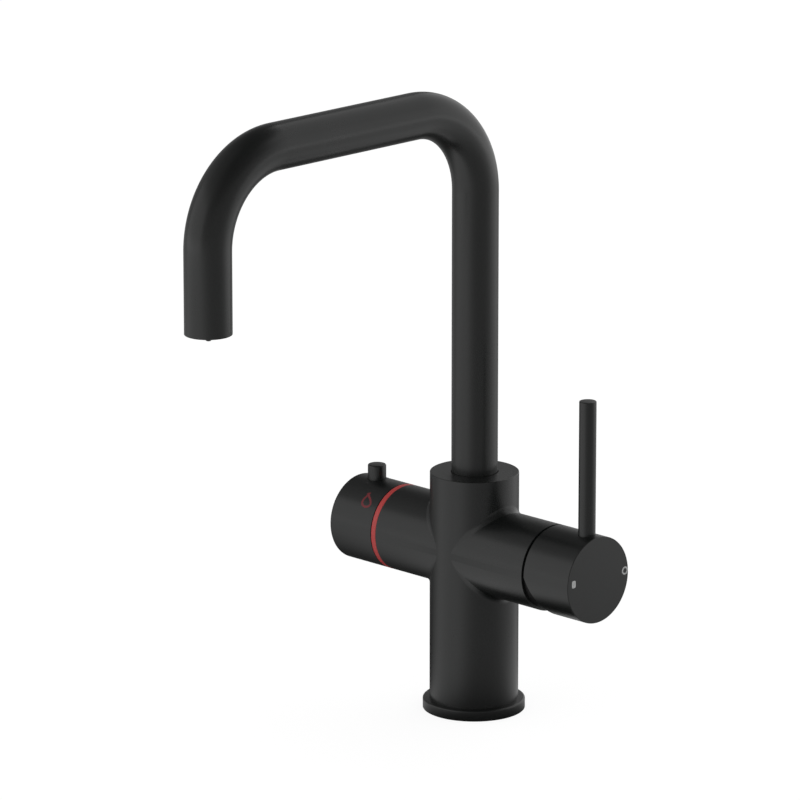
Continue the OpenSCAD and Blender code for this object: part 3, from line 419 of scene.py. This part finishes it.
def true_normals(mesh, cylinders, learnt=(), reach=0.00006, near_by=0.0006, same_way=0.965):
    """Gives each corner the normal of the cylinder (point, axis, radius) that it lies on, or of
    the learnt (place, normal) pairs near it, so that long faces shade well."""
    tree = KDTree(max(len(learnt), 1))
    for i, (place, normal) in enumerate(learnt):
        tree.insert(place, i)
    tree.balance()
    normals = []
    for polygon in mesh.polygons:
        flat = polygon.normal
        for vertex in polygon.vertices:
            place = mesh.vertices[vertex].co
            best = flat
            for point, axis, radius in cylinders:
                away = place - point
                away -= axis * away.dot(axis)
                normal = away.normalized()
                if abs(away.length - radius) < reach and abs(normal.dot(flat)) > same_way:
                    best = normal if normal.dot(flat) > 0 else -normal
                    break
            else:
                near = tree.find_n(place, 3) if learnt else []
                if near and near[0][2] < near_by:
                    shares = (learnt[i][1] / (gap + 1e-6) for _, i, gap in near)
                    normal = sum(shares, Vector()).normalized()
                    if normal.dot(flat) > same_way:
                        best = normal
            normals.append(best)
    mesh.polygons.foreach_set("use_smooth", [True] * len(mesh.polygons))
    mesh.normals_split_custom_set(normals)


def piece(name, mesh, material, body, slot, *nodes):
    """A finished mesh as an object that rides on a body and stands for its CAD nodes."""
    mesh.name = name
    mesh.materials.clear()
    mesh.materials.append(material)
    thing = bpy.data.objects.new(name, mesh)
    bpy.context.scene.collection.objects.link(thing)
    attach(thing, body)
    if nodes:
        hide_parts(*nodes)


body_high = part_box("body_casting")[1]
ring_low, ring_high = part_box("red_ring")
flange_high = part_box("base_flange")[1]
barrel_r = body_high.y
barrel_top = body_high.z
arm_r = (ring_high.z - ring_low.z) / 2
arm_z = (ring_high.z + ring_low.z) / 2
to_mixer = Matrix.Translation((0, 0, arm_z)) @ Matrix.Rotation(math.pi / 2, 4, "Y")
to_valve = Matrix.Translation((0, 0, arm_z)) @ Matrix.Rotation(-math.pi / 2, 4, "Y")
edge = 0.0004
spigot_r = 0.0190
shank_r, shank_depth = 0.01569, 0.0180
block_r, block_top = 0.0148, 0.0320
socket_r, socket_z = 0.0133, barrel_top - 0.0270
bush_r, bush_low, bush_high = 0.0151, barrel_top - 0.0100, barrel_top - 0.0020
barrel = turned("barrel", [
    (shank_r, 0.0), (spigot_r, 0.0), (spigot_r, flange_high.z), (barrel_r, flange_high.z),
    (barrel_r, barrel_top, edge), (socket_r, barrel_top, edge / 2), (socket_r, bush_high),
    (bush_r, bush_high), (bush_r, bush_low), (socket_r, bush_low), (socket_r, socket_z), (0.0, socket_z),
    (0.0, block_top), (block_r, block_top), (block_r, shank_depth), (shank_r, shank_depth),
])
right, left, up, down, back = (1, 0, 0), (-1, 0, 0), (0, 0, 1), (0, 0, -1), (0, 1, 0)
keeper_r, keeper_drop, keeper_inside, keeper_length = 0.0026, 0.0129, 0.0008, 0.014
keeper_hole = (0, socket_r - keeper_inside, barrel_top - keeper_drop)
barrel = combine(barrel, [drilled(keeper_hole, back, keeper_r, keeper_length, 64)])
mixer_arm_end = body_high.x
boil_arm_end = -ring_high.x
ring_spigot_end = 0.0574
ring_bore_r = 0.0195
cartridge_r, cartridge_seat = 0.0175, 0.0330
nut_r, nut_start = 0.0204, 0.0537
mixer_arm = turned("mixer_arm", [
    (0.0, 0.0), (arm_r, 0.0), (arm_r, mixer_arm_end, edge / 2), (nut_r, mixer_arm_end),
    (nut_r, nut_start), (cartridge_r, nut_start), (cartridge_r, cartridge_seat), (0.0, cartridge_seat),
])
mixer_arm.transform(to_mixer)
valve_seat = 0.0240
chamber_r, thread_r, nose_r = 0.00943, 0.0105, 0.0165
thread_start, thread_end = valve_seat + 0.014, valve_seat + 0.024
boil_arm = turned("boil_arm", [
    (0.0, 0.0), (arm_r, 0.0), (arm_r, boil_arm_end, edge / 2), (ring_bore_r, boil_arm_end),
    (ring_bore_r, ring_spigot_end), (nose_r, ring_spigot_end), (nose_r, thread_end),
    (thread_r, thread_end), (thread_r, thread_start), (0.0, thread_start),
])
boil_arm.transform(to_valve)

fillet_r = 0.0044
fillet_sunk, fillet_root = 0.00003, 0.006
fillet_normals = []


def fillet(side, around=240, across=14):
    """The ring of metal that a ball leaves when it rolls round one arm, sunk a hair into both.
    The ball is larger at the arm's sides."""
    build = bmesh.new()
    bmesh.ops.create_grid(build, x_segments=across + 2, y_segments=around, size=1.0)
    build.verts.ensure_lookup_table()
    for j in range(around + 1):
        angle = 2 * math.pi * j / around
        ball_r = fillet_r * (1 + math.cos(angle) ** 4)
        ball_y = (arm_r + ball_r) * math.cos(angle)
        ball_z = (arm_r + ball_r) * math.sin(angle)
        ball = Vector((math.sqrt((barrel_r + ball_r) ** 2 - ball_y ** 2), ball_y, ball_z))
        to_barrel = -Vector((ball.x, ball.y, 0)).normalized()
        to_arm = -Vector((0, ball.y, ball.z)).normalized()
        for i in range(across + 3):
            way = to_barrel.slerp(to_arm, min(i, across) / across)
            place = ball + way * (ball_r + fillet_sunk)
            if i == across + 1:
                inward = (to_barrel + to_arm).normalized()
                place = ball + (to_barrel + to_arm) * ball_r / 2 + inward * fillet_root
            elif i == across + 2:
                place = ball + to_barrel * (ball_r + fillet_sunk)
            vert = build.verts[j * (across + 3) + i]
            vert.co = (side * place.x, place.y, place.z + arm_z)
            if i <= across:
                fillet_normals.append((vert.co.copy(), Vector((-side * way.x, -way.y, -way.z))))
    bmesh.ops.remove_doubles(build, verts=build.verts, dist=weld)
    bmesh.ops.recalc_face_normals(build, faces=build.faces)
    return made_mesh("fillet", build)


casting = combine(barrel, [mixer_arm, boil_arm, fillet(1), fillet(-1)], "UNION")
port_r = 0.0086
port_drop, port_side = port_r / 2, port_r * math.sin(math.radians(60))
riser_r, cross_r, boil_r, nipple_r = 0.0030, 0.0027, 0.0022, 0.0040
chamber_depth, return_length = 0.015, valve_seat + 0.007
narrower, past, under = 0.0002, 0.001, 0.0005
riser_foot = block_top - under
casting = combine(casting, [drilled(*drill) for drill in (
    ((-valve_seat, 0, arm_z), left, chamber_r, chamber_depth, 96),
    ((port_drop, port_side, riser_foot), up, riser_r, arm_z - port_drop - block_top),
    ((port_drop, -port_side, riser_foot), up, riser_r, arm_z - port_drop - block_top),
    ((port_drop, port_side, arm_z - port_drop), right, cross_r, cartridge_seat - port_drop + past),
    ((port_drop, -port_side, arm_z - port_drop), right, cross_r, cartridge_seat - port_drop + past),
    ((port_r, 0, arm_z + port_r), right, cross_r, cartridge_seat - port_r + past),
    ((port_r, 0, arm_z + port_r), up, cross_r - narrower, socket_z - arm_z - port_r + past),
    ((-port_r, 0, riser_foot), up, boil_r, arm_z - block_top),
    ((-port_r, 0, arm_z), left, boil_r - narrower, valve_seat - port_r + past),
    ((0, 0, arm_z + chamber_r), left, boil_r, return_length),
    ((0, 0, arm_z + chamber_r), up, nipple_r, socket_z - arm_z - chamber_r + past),
)])

upright = Vector((0, 0, 1))
across = Vector((1, 0, 0))
in_barrel = Vector((0, 0, 0))
in_arms = Vector((0, 0, arm_z))
true_normals(casting, [
    (in_barrel, upright, barrel_r), (in_arms, across, arm_r), (in_barrel, upright, socket_r),
    (in_barrel, upright, shank_r), (in_barrel, upright, spigot_r), (in_arms, across, nut_r),
    (in_arms, across, nose_r), (in_arms, across, ring_bore_r), (in_arms, across, cartridge_r),
], fillet_normals)
piece("body_casting_coated", casting, satin_black, "tap_body", "satin_black", "body_casting")

# Base flange and its rubber ring
# A separate turned flange covers the worktop hole. Its rim is rounded over, and
# a moulded rubber ring sits in a groove under it.
seal_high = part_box("base_seal")[1]
slip, groove_width = 0.0001, 0.0041
groove_out = seal_high.y + slip
groove_in = seal_high.y - groove_width
groove_top = seal_high.z + slip
flange_round = 0.0009
flange = turned("flange", [
    (spigot_r + slip, 0.0), (groove_in, 0.0), (groove_in, groove_top), (groove_out, groove_top),
    (groove_out, 0.0), (flange_high.y, 0.0, edge), (flange_high.y, flange_high.z, flange_round),
    (spigot_r + slip, flange_high.z),
])
piece("base_flange_coated", flange, satin_black, "tap_body", "satin_black", "base_flange")


def mould_skin(group, given, vector, result):
    """The faint skin that a mould or a press leaves."""
    slow = noise(group, vector, given["Coarse"], 2.0)
    skin = noise(group, vector, given["Fine"], 2.0)
    group.links.new(slow, result["Tone"])
    group.links.new(blended(group, slow, skin, 0.4), result["Gloss"])
    group.links.new(skin, result["Relief"])


mould_group = texture_group("mould_skin", mould_skin)
seal_rubber = finish("seal_rubber", mould_group, (60.0, 1800.0),
    ((0.012, 0.012, 0.012), (0.018, 0.018, 0.019)), (0.55, 0.68), 0.000010)


def dress(material, *nodes):
    """Gives carried CAD nodes their material."""
    for node in nodes:
        mesh = frame["nodes"][node].data
        mesh.materials.clear()
        mesh.materials.append(material)


dress(seal_rubber, "base_seal")

# Hose block
# A turned brass plug closes the barrel from below. The three supply hoses screw
# into it, and a rubber ring seals it.


def lathe_lines(group, given, vector, result):
    """Fine rings that a lathe tool leaves round the axis given by Along and Through."""
    placed = group.nodes.new("ShaderNodeVectorMath")
    placed.operation = "SUBTRACT"
    group.links.new(vector, placed.inputs[0])
    group.links.new(given["Through"], placed.inputs[1])
    along = group.nodes.new("ShaderNodeVectorMath")
    along.operation = "DOT_PRODUCT"
    group.links.new(placed.outputs[0], along.inputs[0])
    group.links.new(given["Along"], along.inputs[1])
    cross = group.nodes.new("ShaderNodeVectorMath")
    cross.operation = "CROSS_PRODUCT"
    group.links.new(placed.outputs[0], cross.inputs[0])
    group.links.new(given["Along"], cross.inputs[1])
    radius = group.nodes.new("ShaderNodeVectorMath")
    radius.operation = "LENGTH"
    group.links.new(cross.outputs[0], radius.inputs[0])
    station = group.nodes.new("ShaderNodeCombineXYZ")
    group.links.new(along.outputs["Value"], station.inputs["X"])
    group.links.new(radius.outputs["Value"], station.inputs["Y"])
    lines = noise(group, station.outputs[0], given["Fine"], 3.0)
    slow = noise(group, vector, given["Coarse"], 2.0)
    group.links.new(blended(group, slow, lines, 0.4), result["Tone"])
    group.links.new(blended(group, slow, lines, 0.6), result["Gloss"])
    group.links.new(lines, result["Relief"])


lathe_group = texture_group("lathe_lines", lathe_lines)
brass_tones = ((0.52, 0.38, 0.17), (0.64, 0.50, 0.26))
brass_upright = finish("brass_turned_upright", lathe_group, (50.0, 2600.0), brass_tones,
    (0.22, 0.36), 0.000008, Metallic=1.0)
dress(brass_upright, "hose_block", "boiling_nipple")
dress(seal_rubber, "hose_block_ring")

# Spout bearing
# Two split bushes of white plastic are the bearings of the spout. A headless
# steel screw at the back of the barrel reaches into the stem's groove.
white_moulding = finish("white_moulding", mould_group, (45.0, 1500.0),
    ((0.64, 0.64, 0.60), (0.74, 0.74, 0.70)), (0.38, 0.50), 0.000008, Subsurface_Weight=0.15)
steel_tones = ((0.38, 0.39, 0.40), (0.50, 0.51, 0.52))
screw_steel = finish("screw_steel", lathe_group, (80.0, 3000.0), steel_tones,
    (0.24, 0.38), 0.000006, Metallic=1.0)
dress(white_moulding, "spout_bushes")
dress(screw_steel, "spout_keeper_screw")

# Spout
# One length of brass tube, bent twice through a quarter turn on a former and
# coated. It turns in the barrel, and the rim of its open end is eased.
tube_low, tube_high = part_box("spout_tube")
tube_r = tube_high.x
tube_wall = 0.0012
tube_reach = -tube_low.y - tube_r
level_z = tube_high.z - tube_r
bend_r = 0.0492
outlet_z = 0.2539


def route(radius, start_z, around=128, steps=64):
    """An open skin of that radius along the spout's way: up, over and down."""
    build = bmesh.new()
    bmesh.ops.create_circle(build, segments=around, radius=radius,
        matrix=Matrix.Translation((0, 0, start_z)))
    front = build.edges[:]

    def grown(move):
        made = bmesh.ops.extrude_edge_only(build, edges=front)["geom"]
        move([part for part in made if isinstance(part, bmesh.types.BMVert)])
        return [part for part in made if isinstance(part, bmesh.types.BMEdge)]

    legs = (
        (Vector((0, 0, level_z - bend_r - start_z)), Vector((0, -bend_r, level_z - bend_r))),
        (Vector((0, 2 * bend_r - tube_reach, 0)), Vector((0, bend_r - tube_reach, level_z - bend_r))),
        (Vector((0, 0, outlet_z - level_z + bend_r)), None),
    )
    turn = Matrix.Rotation(math.pi / 2 / steps, 3, "X")
    for leg, centre in legs:
        front = grown(lambda verts: bmesh.ops.translate(build, verts=verts, vec=leg))
        for _ in range(steps if centre else 0):
            front = grown(lambda verts: bmesh.ops.rotate(build, verts=verts, cent=centre, matrix=turn))
    return build


tube = route(tube_r, tube_low.z)
bmesh.ops.recalc_face_normals(tube, faces=tube.faces)
bmesh.ops.solidify(tube, geom=tube.faces[:], thickness=tube_wall)
bmesh.ops.recalc_face_normals(tube, faces=tube.faces)
rim = [e for e in tube.edges if all(abs(v.co.z - outlet_z) < 1e-5 for v in e.verts)
    and abs(e.calc_length() - tube_wall) > 1e-4]
rim_round = 0.0003
bmesh.ops.bevel(tube, geom=rim, offset=rim_round, offset_type="OFFSET", segments=3, profile=0.5,
    affect="EDGES", material=-1)
piece("spout_tube_coated", made_mesh("spout", tube), satin_black, "spout", "satin_black", "spout_tube")

# Stem, plug and inner hose
# The spout stands on a turned brass stem with two rubber rings. Boiling water
# has a way of its own: a moulded plug on the nipple and a silicone hose.
dress(brass_upright, "spout_stem")
dress(seal_rubber, "stem_rings")
dress(white_moulding, "hose_plug")
silicone = finish("clear_silicone", mould_group, (60.0, 1500.0),
    ((0.58, 0.58, 0.54), (0.66, 0.66, 0.62)), (0.30, 0.40), 0.000006,
    Transmission_Weight=0.35, IOR=1.41)
dress(silicone, "boiling_hose")

# Outlet
# A brass collar in the end of the spout holds a pierced dark cup, which breaks
# up the mixed water, and the boiling water's small nozzle comes out through it.
dark_moulding = finish("dark_moulding", mould_group, (40.0, 1600.0),
    ((0.010, 0.010, 0.010), (0.016, 0.016, 0.016)), (0.42, 0.54), 0.000010)
dark_nozzle = finish("dark_nozzle", powder_group, (60.0, 2600.0),
    ((0.014, 0.014, 0.014), (0.022, 0.022, 0.022)), (0.34, 0.42), 0.000008)
dress(brass_upright, "outlet_collar")
dress(seal_rubber, "aerator_seal")
dress(dark_moulding, "aerator_cup")
dress(dark_nozzle, "boiling_nozzle")

# Mixer cartridge
# Two lapped ceramic discs in a plastic housing open and mix the water. The
# lever's brass stem tilts on a steel pin in the rotor and slides the upper disc.
brass_across = finish("brass_turned_across", lathe_group, (50.0, 2600.0), brass_tones,
    (0.22, 0.36), 0.000008, along=(1, 0, 0), through=(0, 0, arm_z), Metallic=1.0)
lapped_ceramic = finish("lapped_ceramic", mould_group, (90.0, 2400.0),
    ((0.76, 0.74, 0.68), (0.82, 0.80, 0.75)), (0.12, 0.22), 0.000003)
dress(seal_rubber, "cartridge_port_rings")
dress(white_moulding, "cartridge_base", "cartridge_housing", "cartridge_rotor", "disc_carrier")
dress(lapped_ceramic, "fixed_disc", "sliding_disc")
dress(screw_steel, "stem_pin")
dress(brass_across, "cartridge_nut", "lever_stem")

# Domed cover
# A dark moulded cup closes the arm's end round the cartridge. Its outside is
# part of a ball, so that the cap's hollow rides over it.


def arc(radius, start, end, steps):
    """Corners of an outline that lie on a ball, from one height angle to another."""
    angles = [start + (end - start) * k / steps for k in range(steps + 1)]
    return [(radius * math.cos(angle), radius * math.sin(angle)) for angle in angles]


cover_gap = 0.0016
tilt_x = mixer_arm_end + cover_gap
cover_r, cover_wall = 0.0230, 0.0014
cover_open = math.radians(52)
cover_inside = cover_r - cover_wall
lip = math.acos(cover_r * math.sin(cover_open) / cover_inside)
foot_out, foot_in = -math.asin(cover_gap / cover_r), -math.asin(cover_gap / cover_inside)
cover_black = finish("cover_black", mould_group, (40.0, 1600.0),
    ((0.003, 0.003, 0.003), (0.005, 0.005, 0.005)), (0.44, 0.56), 0.000010, Specular_IOR_Level=0.25)
cover = turned("cover", [
    *arc(cover_r, foot_out, math.pi / 2 - cover_open, 32), *arc(cover_inside, lip, foot_in, 24),
])
to_tilt = Matrix.Translation((tilt_x, 0, 0)) @ to_mixer
cover.transform(to_tilt)
piece("domed_cover_moulded", cover, cover_black, "tap_body", "dark_plastic", "domed_cover")

# Mixer cap
# The mixer's handle is a turned cup with a ball-shaped hollow, cut away at an
# angle underneath so that it can tilt. A square socket in it takes the stem.
cap_end_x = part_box("mixer_cap")[1].x
cap_length = cap_end_x - tilt_x
hollow_gap, cap_boss_r, cap_boss_length = 0.00035, 0.0072, 0.00795
hollow_r = cover_r + hollow_gap
cap_boss = hollow_r - cap_boss_length
tilt_angle = math.radians(25)
cap = turned("cap", [
    (0.0, cap_boss), (cap_boss_r, cap_boss), *arc(hollow_r, math.acos(cap_boss_r / hollow_r), 0.0, 32),
    (arm_r, 0.0, edge / 2), (arm_r, cap_length, edge), (0.0, cap_length),
], closed=False)
cap.transform(to_tilt)


def milled(low, high, turn=0.0, about=(0, 0, 0)):
    """A square cut between two corners, turned about the y direction."""
    build = bmesh.new()
    low, high = Vector(low), Vector(high)
    bmesh.ops.create_cube(build, size=1.0,
        matrix=Matrix.Translation((low + high) / 2) @ Matrix.Diagonal((*(high - low), 1)))
    bmesh.ops.rotate(build, verts=build.verts, cent=about, matrix=Matrix.Rotation(turn, 3, "Y"))
    return made_mesh("cut", build)


stem_half, stem_depth = 0.0041, 0.0307
lever_x, lever_r, lever_seat = 0.0861, 0.0048, 0.022525
lever_thread_r, cap_screw_r = 0.0031, 0.0026
inner_end, drill_length = 0.003, 0.03
cut_far, cut_near = 0.06, 0.04
cap = combine(cap, [
    milled((tilt_x, -stem_half, arm_z - stem_half), (tilt_x + stem_depth, stem_half, arm_z + stem_half)),
    milled((tilt_x - cut_far, -cut_near, arm_z - cut_far), (tilt_x, cut_near, arm_z + cut_near),
        -tilt_angle, (tilt_x, 0, arm_z)),
    drilled((lever_x, 0, arm_z + inner_end), up, lever_thread_r, drill_length),
    drilled((lever_x, 0, arm_z + lever_seat), up, lever_r + slip, drill_length, 96),
    drilled((lever_x, 0, arm_z), down, cap_screw_r, drill_length),
])
in_lever = Vector((lever_x, 0, 0))
true_normals(cap, [
    (in_arms, across, arm_r), (in_lever, upright, cap_screw_r), (in_lever, upright, lever_thread_r),
    (in_lever, upright, lever_r + slip),
])
piece("mixer_cap_coated", cap, satin_black, "mixer_handle", "satin_black", "mixer_cap")

# Marks for hot and cold
# Two small pale marks are printed on the flat end of the cap: a short bar on the
# hot side and a small ring on the cold side.
mark_thick = 0.00003
pale_print = finish("pale_print", mould_group, (120.0, 3000.0),
    ((0.350, 0.355, 0.352), (0.410, 0.415, 0.412)), (0.40, 0.50), 0.000002)
bar_y, bar_z, bar_w, bar_h, bar_round = -0.0195, 0.0016, 0.0030, 0.0042, 0.0009
bar_build = bmesh.new()
bar_place = Matrix.Translation((cap_end_x + mark_thick / 2, bar_y, arm_z + bar_z))
bmesh.ops.create_cube(bar_build, size=1.0,
    matrix=bar_place @ Matrix.Diagonal((mark_thick, bar_w, bar_h, 1)))
corners = [e for e in bar_build.edges if abs(e.verts[0].co.x - e.verts[1].co.x) > mark_thick / 2]
bmesh.ops.bevel(bar_build, geom=corners, offset=bar_round, offset_type="OFFSET", segments=5, profile=0.5,
    affect="EDGES", material=-1)
piece("hot_mark", made_mesh("hot_mark", bar_build), pale_print, "mixer_handle", "satin_black")
cold_y, cold_z, cold_in, cold_out = 0.0217, 0.0010, 0.0014, 0.00235
cold_ring = turned("cold_mark", [
    (cold_in, 0.0), (cold_out, 0.0), (cold_out, mark_thick), (cold_in, mark_thick),
], steps=64)
cold_place = Matrix.Translation((cap_end_x, cold_y, arm_z + cold_z))
cold_ring.transform(cold_place @ Matrix.Rotation(math.pi / 2, 4, "Y"))
piece("cold_mark", cold_ring, pale_print, "mixer_handle", "satin_black")

# Lever
# A slim turned rod, screwed into a seat on top of the cap, with its top edge
# eased. A headless screw under the cap clamps the cap to the stem.
lever_low, lever_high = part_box("lever_rod")
lever_shank_r = 0.003
lever = turned("lever", [
    (0.0, lever_low.z), (lever_shank_r, lever_low.z), (lever_shank_r, arm_z + lever_seat),
    (lever_r, arm_z + lever_seat), (lever_r, lever_high.z, edge), (0.0, lever_high.z),
], closed=False, steps=96)
lever.transform(Matrix.Translation((lever_x, 0, 0)))
piece("lever_rod_coated", lever, satin_black, "mixer_handle", "satin_black", "lever_rod")
dress(screw_steel, "cap_screw")

# Boiling water valve
# A brass valve screws into the left arm on a rubber washer. Its spindle turns
# one ceramic disc on another, and a steel sleeve ends the quarter turn.
dress(seal_rubber, "valve_seat_seal", "valve_washer", "spindle_ring")
dress(lapped_ceramic, "valve_fixed_disc", "valve_turning_disc")
dress(brass_across, "valve_body", "valve_spindle")
steel_across = finish("steel_turned_across", lathe_group, (80.0, 3000.0), steel_tones,
    (0.24, 0.38), 0.000006, along=(1, 0, 0), through=(0, 0, arm_z), Metallic=1.0)
dress(steel_across, "stop_sleeve")

# Red ring
# A smooth red moulding sits between the arm and the knob as the sign of boiling
# water. It slides over the arm's spigot.
red_moulding = finish("red_moulding", mould_group, (60.0, 1800.0),
    ((0.420, 0.036, 0.034), (0.490, 0.046, 0.044)), (0.30, 0.38), 0.000005)
ring_width = ring_high.x - ring_low.x
ring_round = edge * 0.75
red_ring = turned("red_ring", [
    (ring_bore_r + slip, 0.0), (arm_r, 0.0, ring_round), (arm_r, ring_width, ring_round),
    (ring_bore_r + slip, ring_width),
])
red_ring.transform(Matrix.Translation((ring_high.x, 0, 0)) @ to_valve)
piece("red_ring_moulded", red_ring, red_moulding, "tap_body", "signal_red", "red_ring")

# Knob
# The boiling valve's handle is a turned cup with a flat, solid end. A boss inside
# it holds the lock button, which comes out through a hole on top.
knob_low, knob_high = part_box("knob_shell")
knob_wall, knob_end = 0.0024, 0.0074
knob_len = knob_high.x - knob_low.x
knob_in = knob_len - knob_end
insert_r = 0.0061
knob = turned("knob", [
    (arm_r - knob_wall, 0.0), (arm_r, 0.0, edge / 2), (arm_r, knob_len, edge), (0.0, knob_len),
    (0.0, knob_len - knob_wall), (insert_r, knob_len - knob_wall), (insert_r, knob_in),
    (arm_r - knob_wall, knob_in),
])
knob.transform(Matrix.Translation((knob_high.x, 0, 0)) @ to_valve)
button_x = -0.0770
boss_r, boss_floor, boss_cup = 0.00795, 0.0156, 0.0170
boss_short = 0.0012
boss_top = arm_z + arm_r - boss_short
boss = turned("boss", [
    (0.0, arm_z + boss_floor), (boss_r, arm_z + boss_floor), (boss_r, boss_top), (0.0, boss_top),
], closed=False, steps=96)
boss.transform(Matrix.Translation((button_x, 0, 0)))
stem_bore_r, button_bore_r, knob_screw_r = 0.00256, 0.00545, 0.0021
screw_x = -0.0852
knob = combine(knob, [boss], "UNION")
knob = combine(knob, [
    drilled((button_x, 0, arm_z + boss_floor - past), up, stem_bore_r, drill_length, 64),
    drilled((button_x, 0, arm_z + boss_cup), up, button_bore_r, drill_length, 128),
    drilled((screw_x, 0, arm_z - inner_end), down, knob_screw_r, drill_length, 64),
])
in_button = Vector((button_x, 0, 0))
true_normals(knob, [
    (in_arms, across, arm_r), (in_arms, across, arm_r - knob_wall), (in_button, upright, boss_r),
    (in_button, upright, button_bore_r), (Vector((screw_x, 0, 0)), upright, knob_screw_r),
])
piece("knob_shell_coated", knob, satin_black, "boiling_knob", "satin_black", "knob_shell")
dress(white_moulding, "knob_insert")
dress(screw_steel, "knob_screw")

# Drop mark
# A dark red outline of a drop is printed on the knob, in front of the button,
# for boiling water.
drop_x, drop_turn = -0.06645, math.radians(46.1)
drop_h, drop_w, drop_lean, drop_stroke = 0.0096, 0.0084, 0.30, 0.0013
widest, taper = 1.12, 0.9
drop_build = bmesh.new()
bmesh.ops.create_circle(drop_build, cap_ends=True, segments=96, radius=1.0)
for vert in drop_build.verts:
    angle = math.atan2(vert.co.x, vert.co.y)
    height = math.cos(angle)
    width = math.sin(angle) * math.sin(math.pi / 2 * (1 - height) / 2) ** taper
    vert.co = (width * drop_w / 2 * widest, height * drop_h / 2, 0)
    vert.co.x -= drop_lean * (vert.co.y + drop_h / 2) ** 2 / drop_h
stroke = bmesh.ops.inset_region(drop_build, faces=drop_build.faces[:], thickness=drop_stroke,
    use_even_offset=False, use_boundary=True)
inner = [face for face in drop_build.faces if face not in stroke["faces"]]
bmesh.ops.delete(drop_build, geom=inner, context="FACES")
sides = bmesh.ops.extrude_face_region(drop_build, geom=drop_build.faces[:])["geom"]
bmesh.ops.translate(drop_build, verts=[part for part in sides if isinstance(part, bmesh.types.BMVert)],
    vec=(0, 0, mark_thick))
for vert in drop_build.verts:
    turn = drop_turn - vert.co.y / arm_r
    radius = arm_r + vert.co.z
    vert.co = (drop_x + vert.co.x, -radius * math.sin(turn), arm_z + radius * math.cos(turn))
bmesh.ops.recalc_face_normals(drop_build, faces=drop_build.faces)
if drop_build.calc_volume(signed=True) < 0:
    bmesh.ops.reverse_faces(drop_build, faces=drop_build.faces)
red_print = finish("dark_red_print", mould_group, (120.0, 3000.0),
    ((0.150, 0.012, 0.018), (0.190, 0.016, 0.022)), (0.40, 0.50), 0.000002)
piece("drop_mark", made_mesh("drop_mark", drop_build), red_print, "boiling_knob", "signal_red")

# Lock button
# A turned peg with an eased head is pushed in before the knob will turn. A
# steel spring pushes it out, and a clip on its stem holds it in.
button_low, button_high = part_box("lock_button")
clip_low, clip_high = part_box("button_clip")
button_r, button_stem_r, groove_r = 0.00525, 0.0025, 0.00195
head_rise = 0.0226
button_head = arm_z + head_rise
groove_low, groove_high = clip_low.z - slip / 2, clip_high.z + slip / 2
button = turned("button", [
    (0.0, button_low.z), (button_stem_r, button_low.z, edge), (button_stem_r, groove_low),
    (groove_r, groove_low), (groove_r, groove_high), (button_stem_r, groove_high),
    (button_stem_r, button_head), (button_r, button_head, edge), (button_r, button_high.z, 2 * edge),
    (0.0, button_high.z),
], closed=False, steps=128)
button.transform(Matrix.Translation((button_x, 0, 0)))
piece("lock_button_coated", button, satin_black, "child_lock", "satin_black", "lock_button")
dress(screw_steel, "button_spring", "button_clip")

bpy.context.view_layer.update()
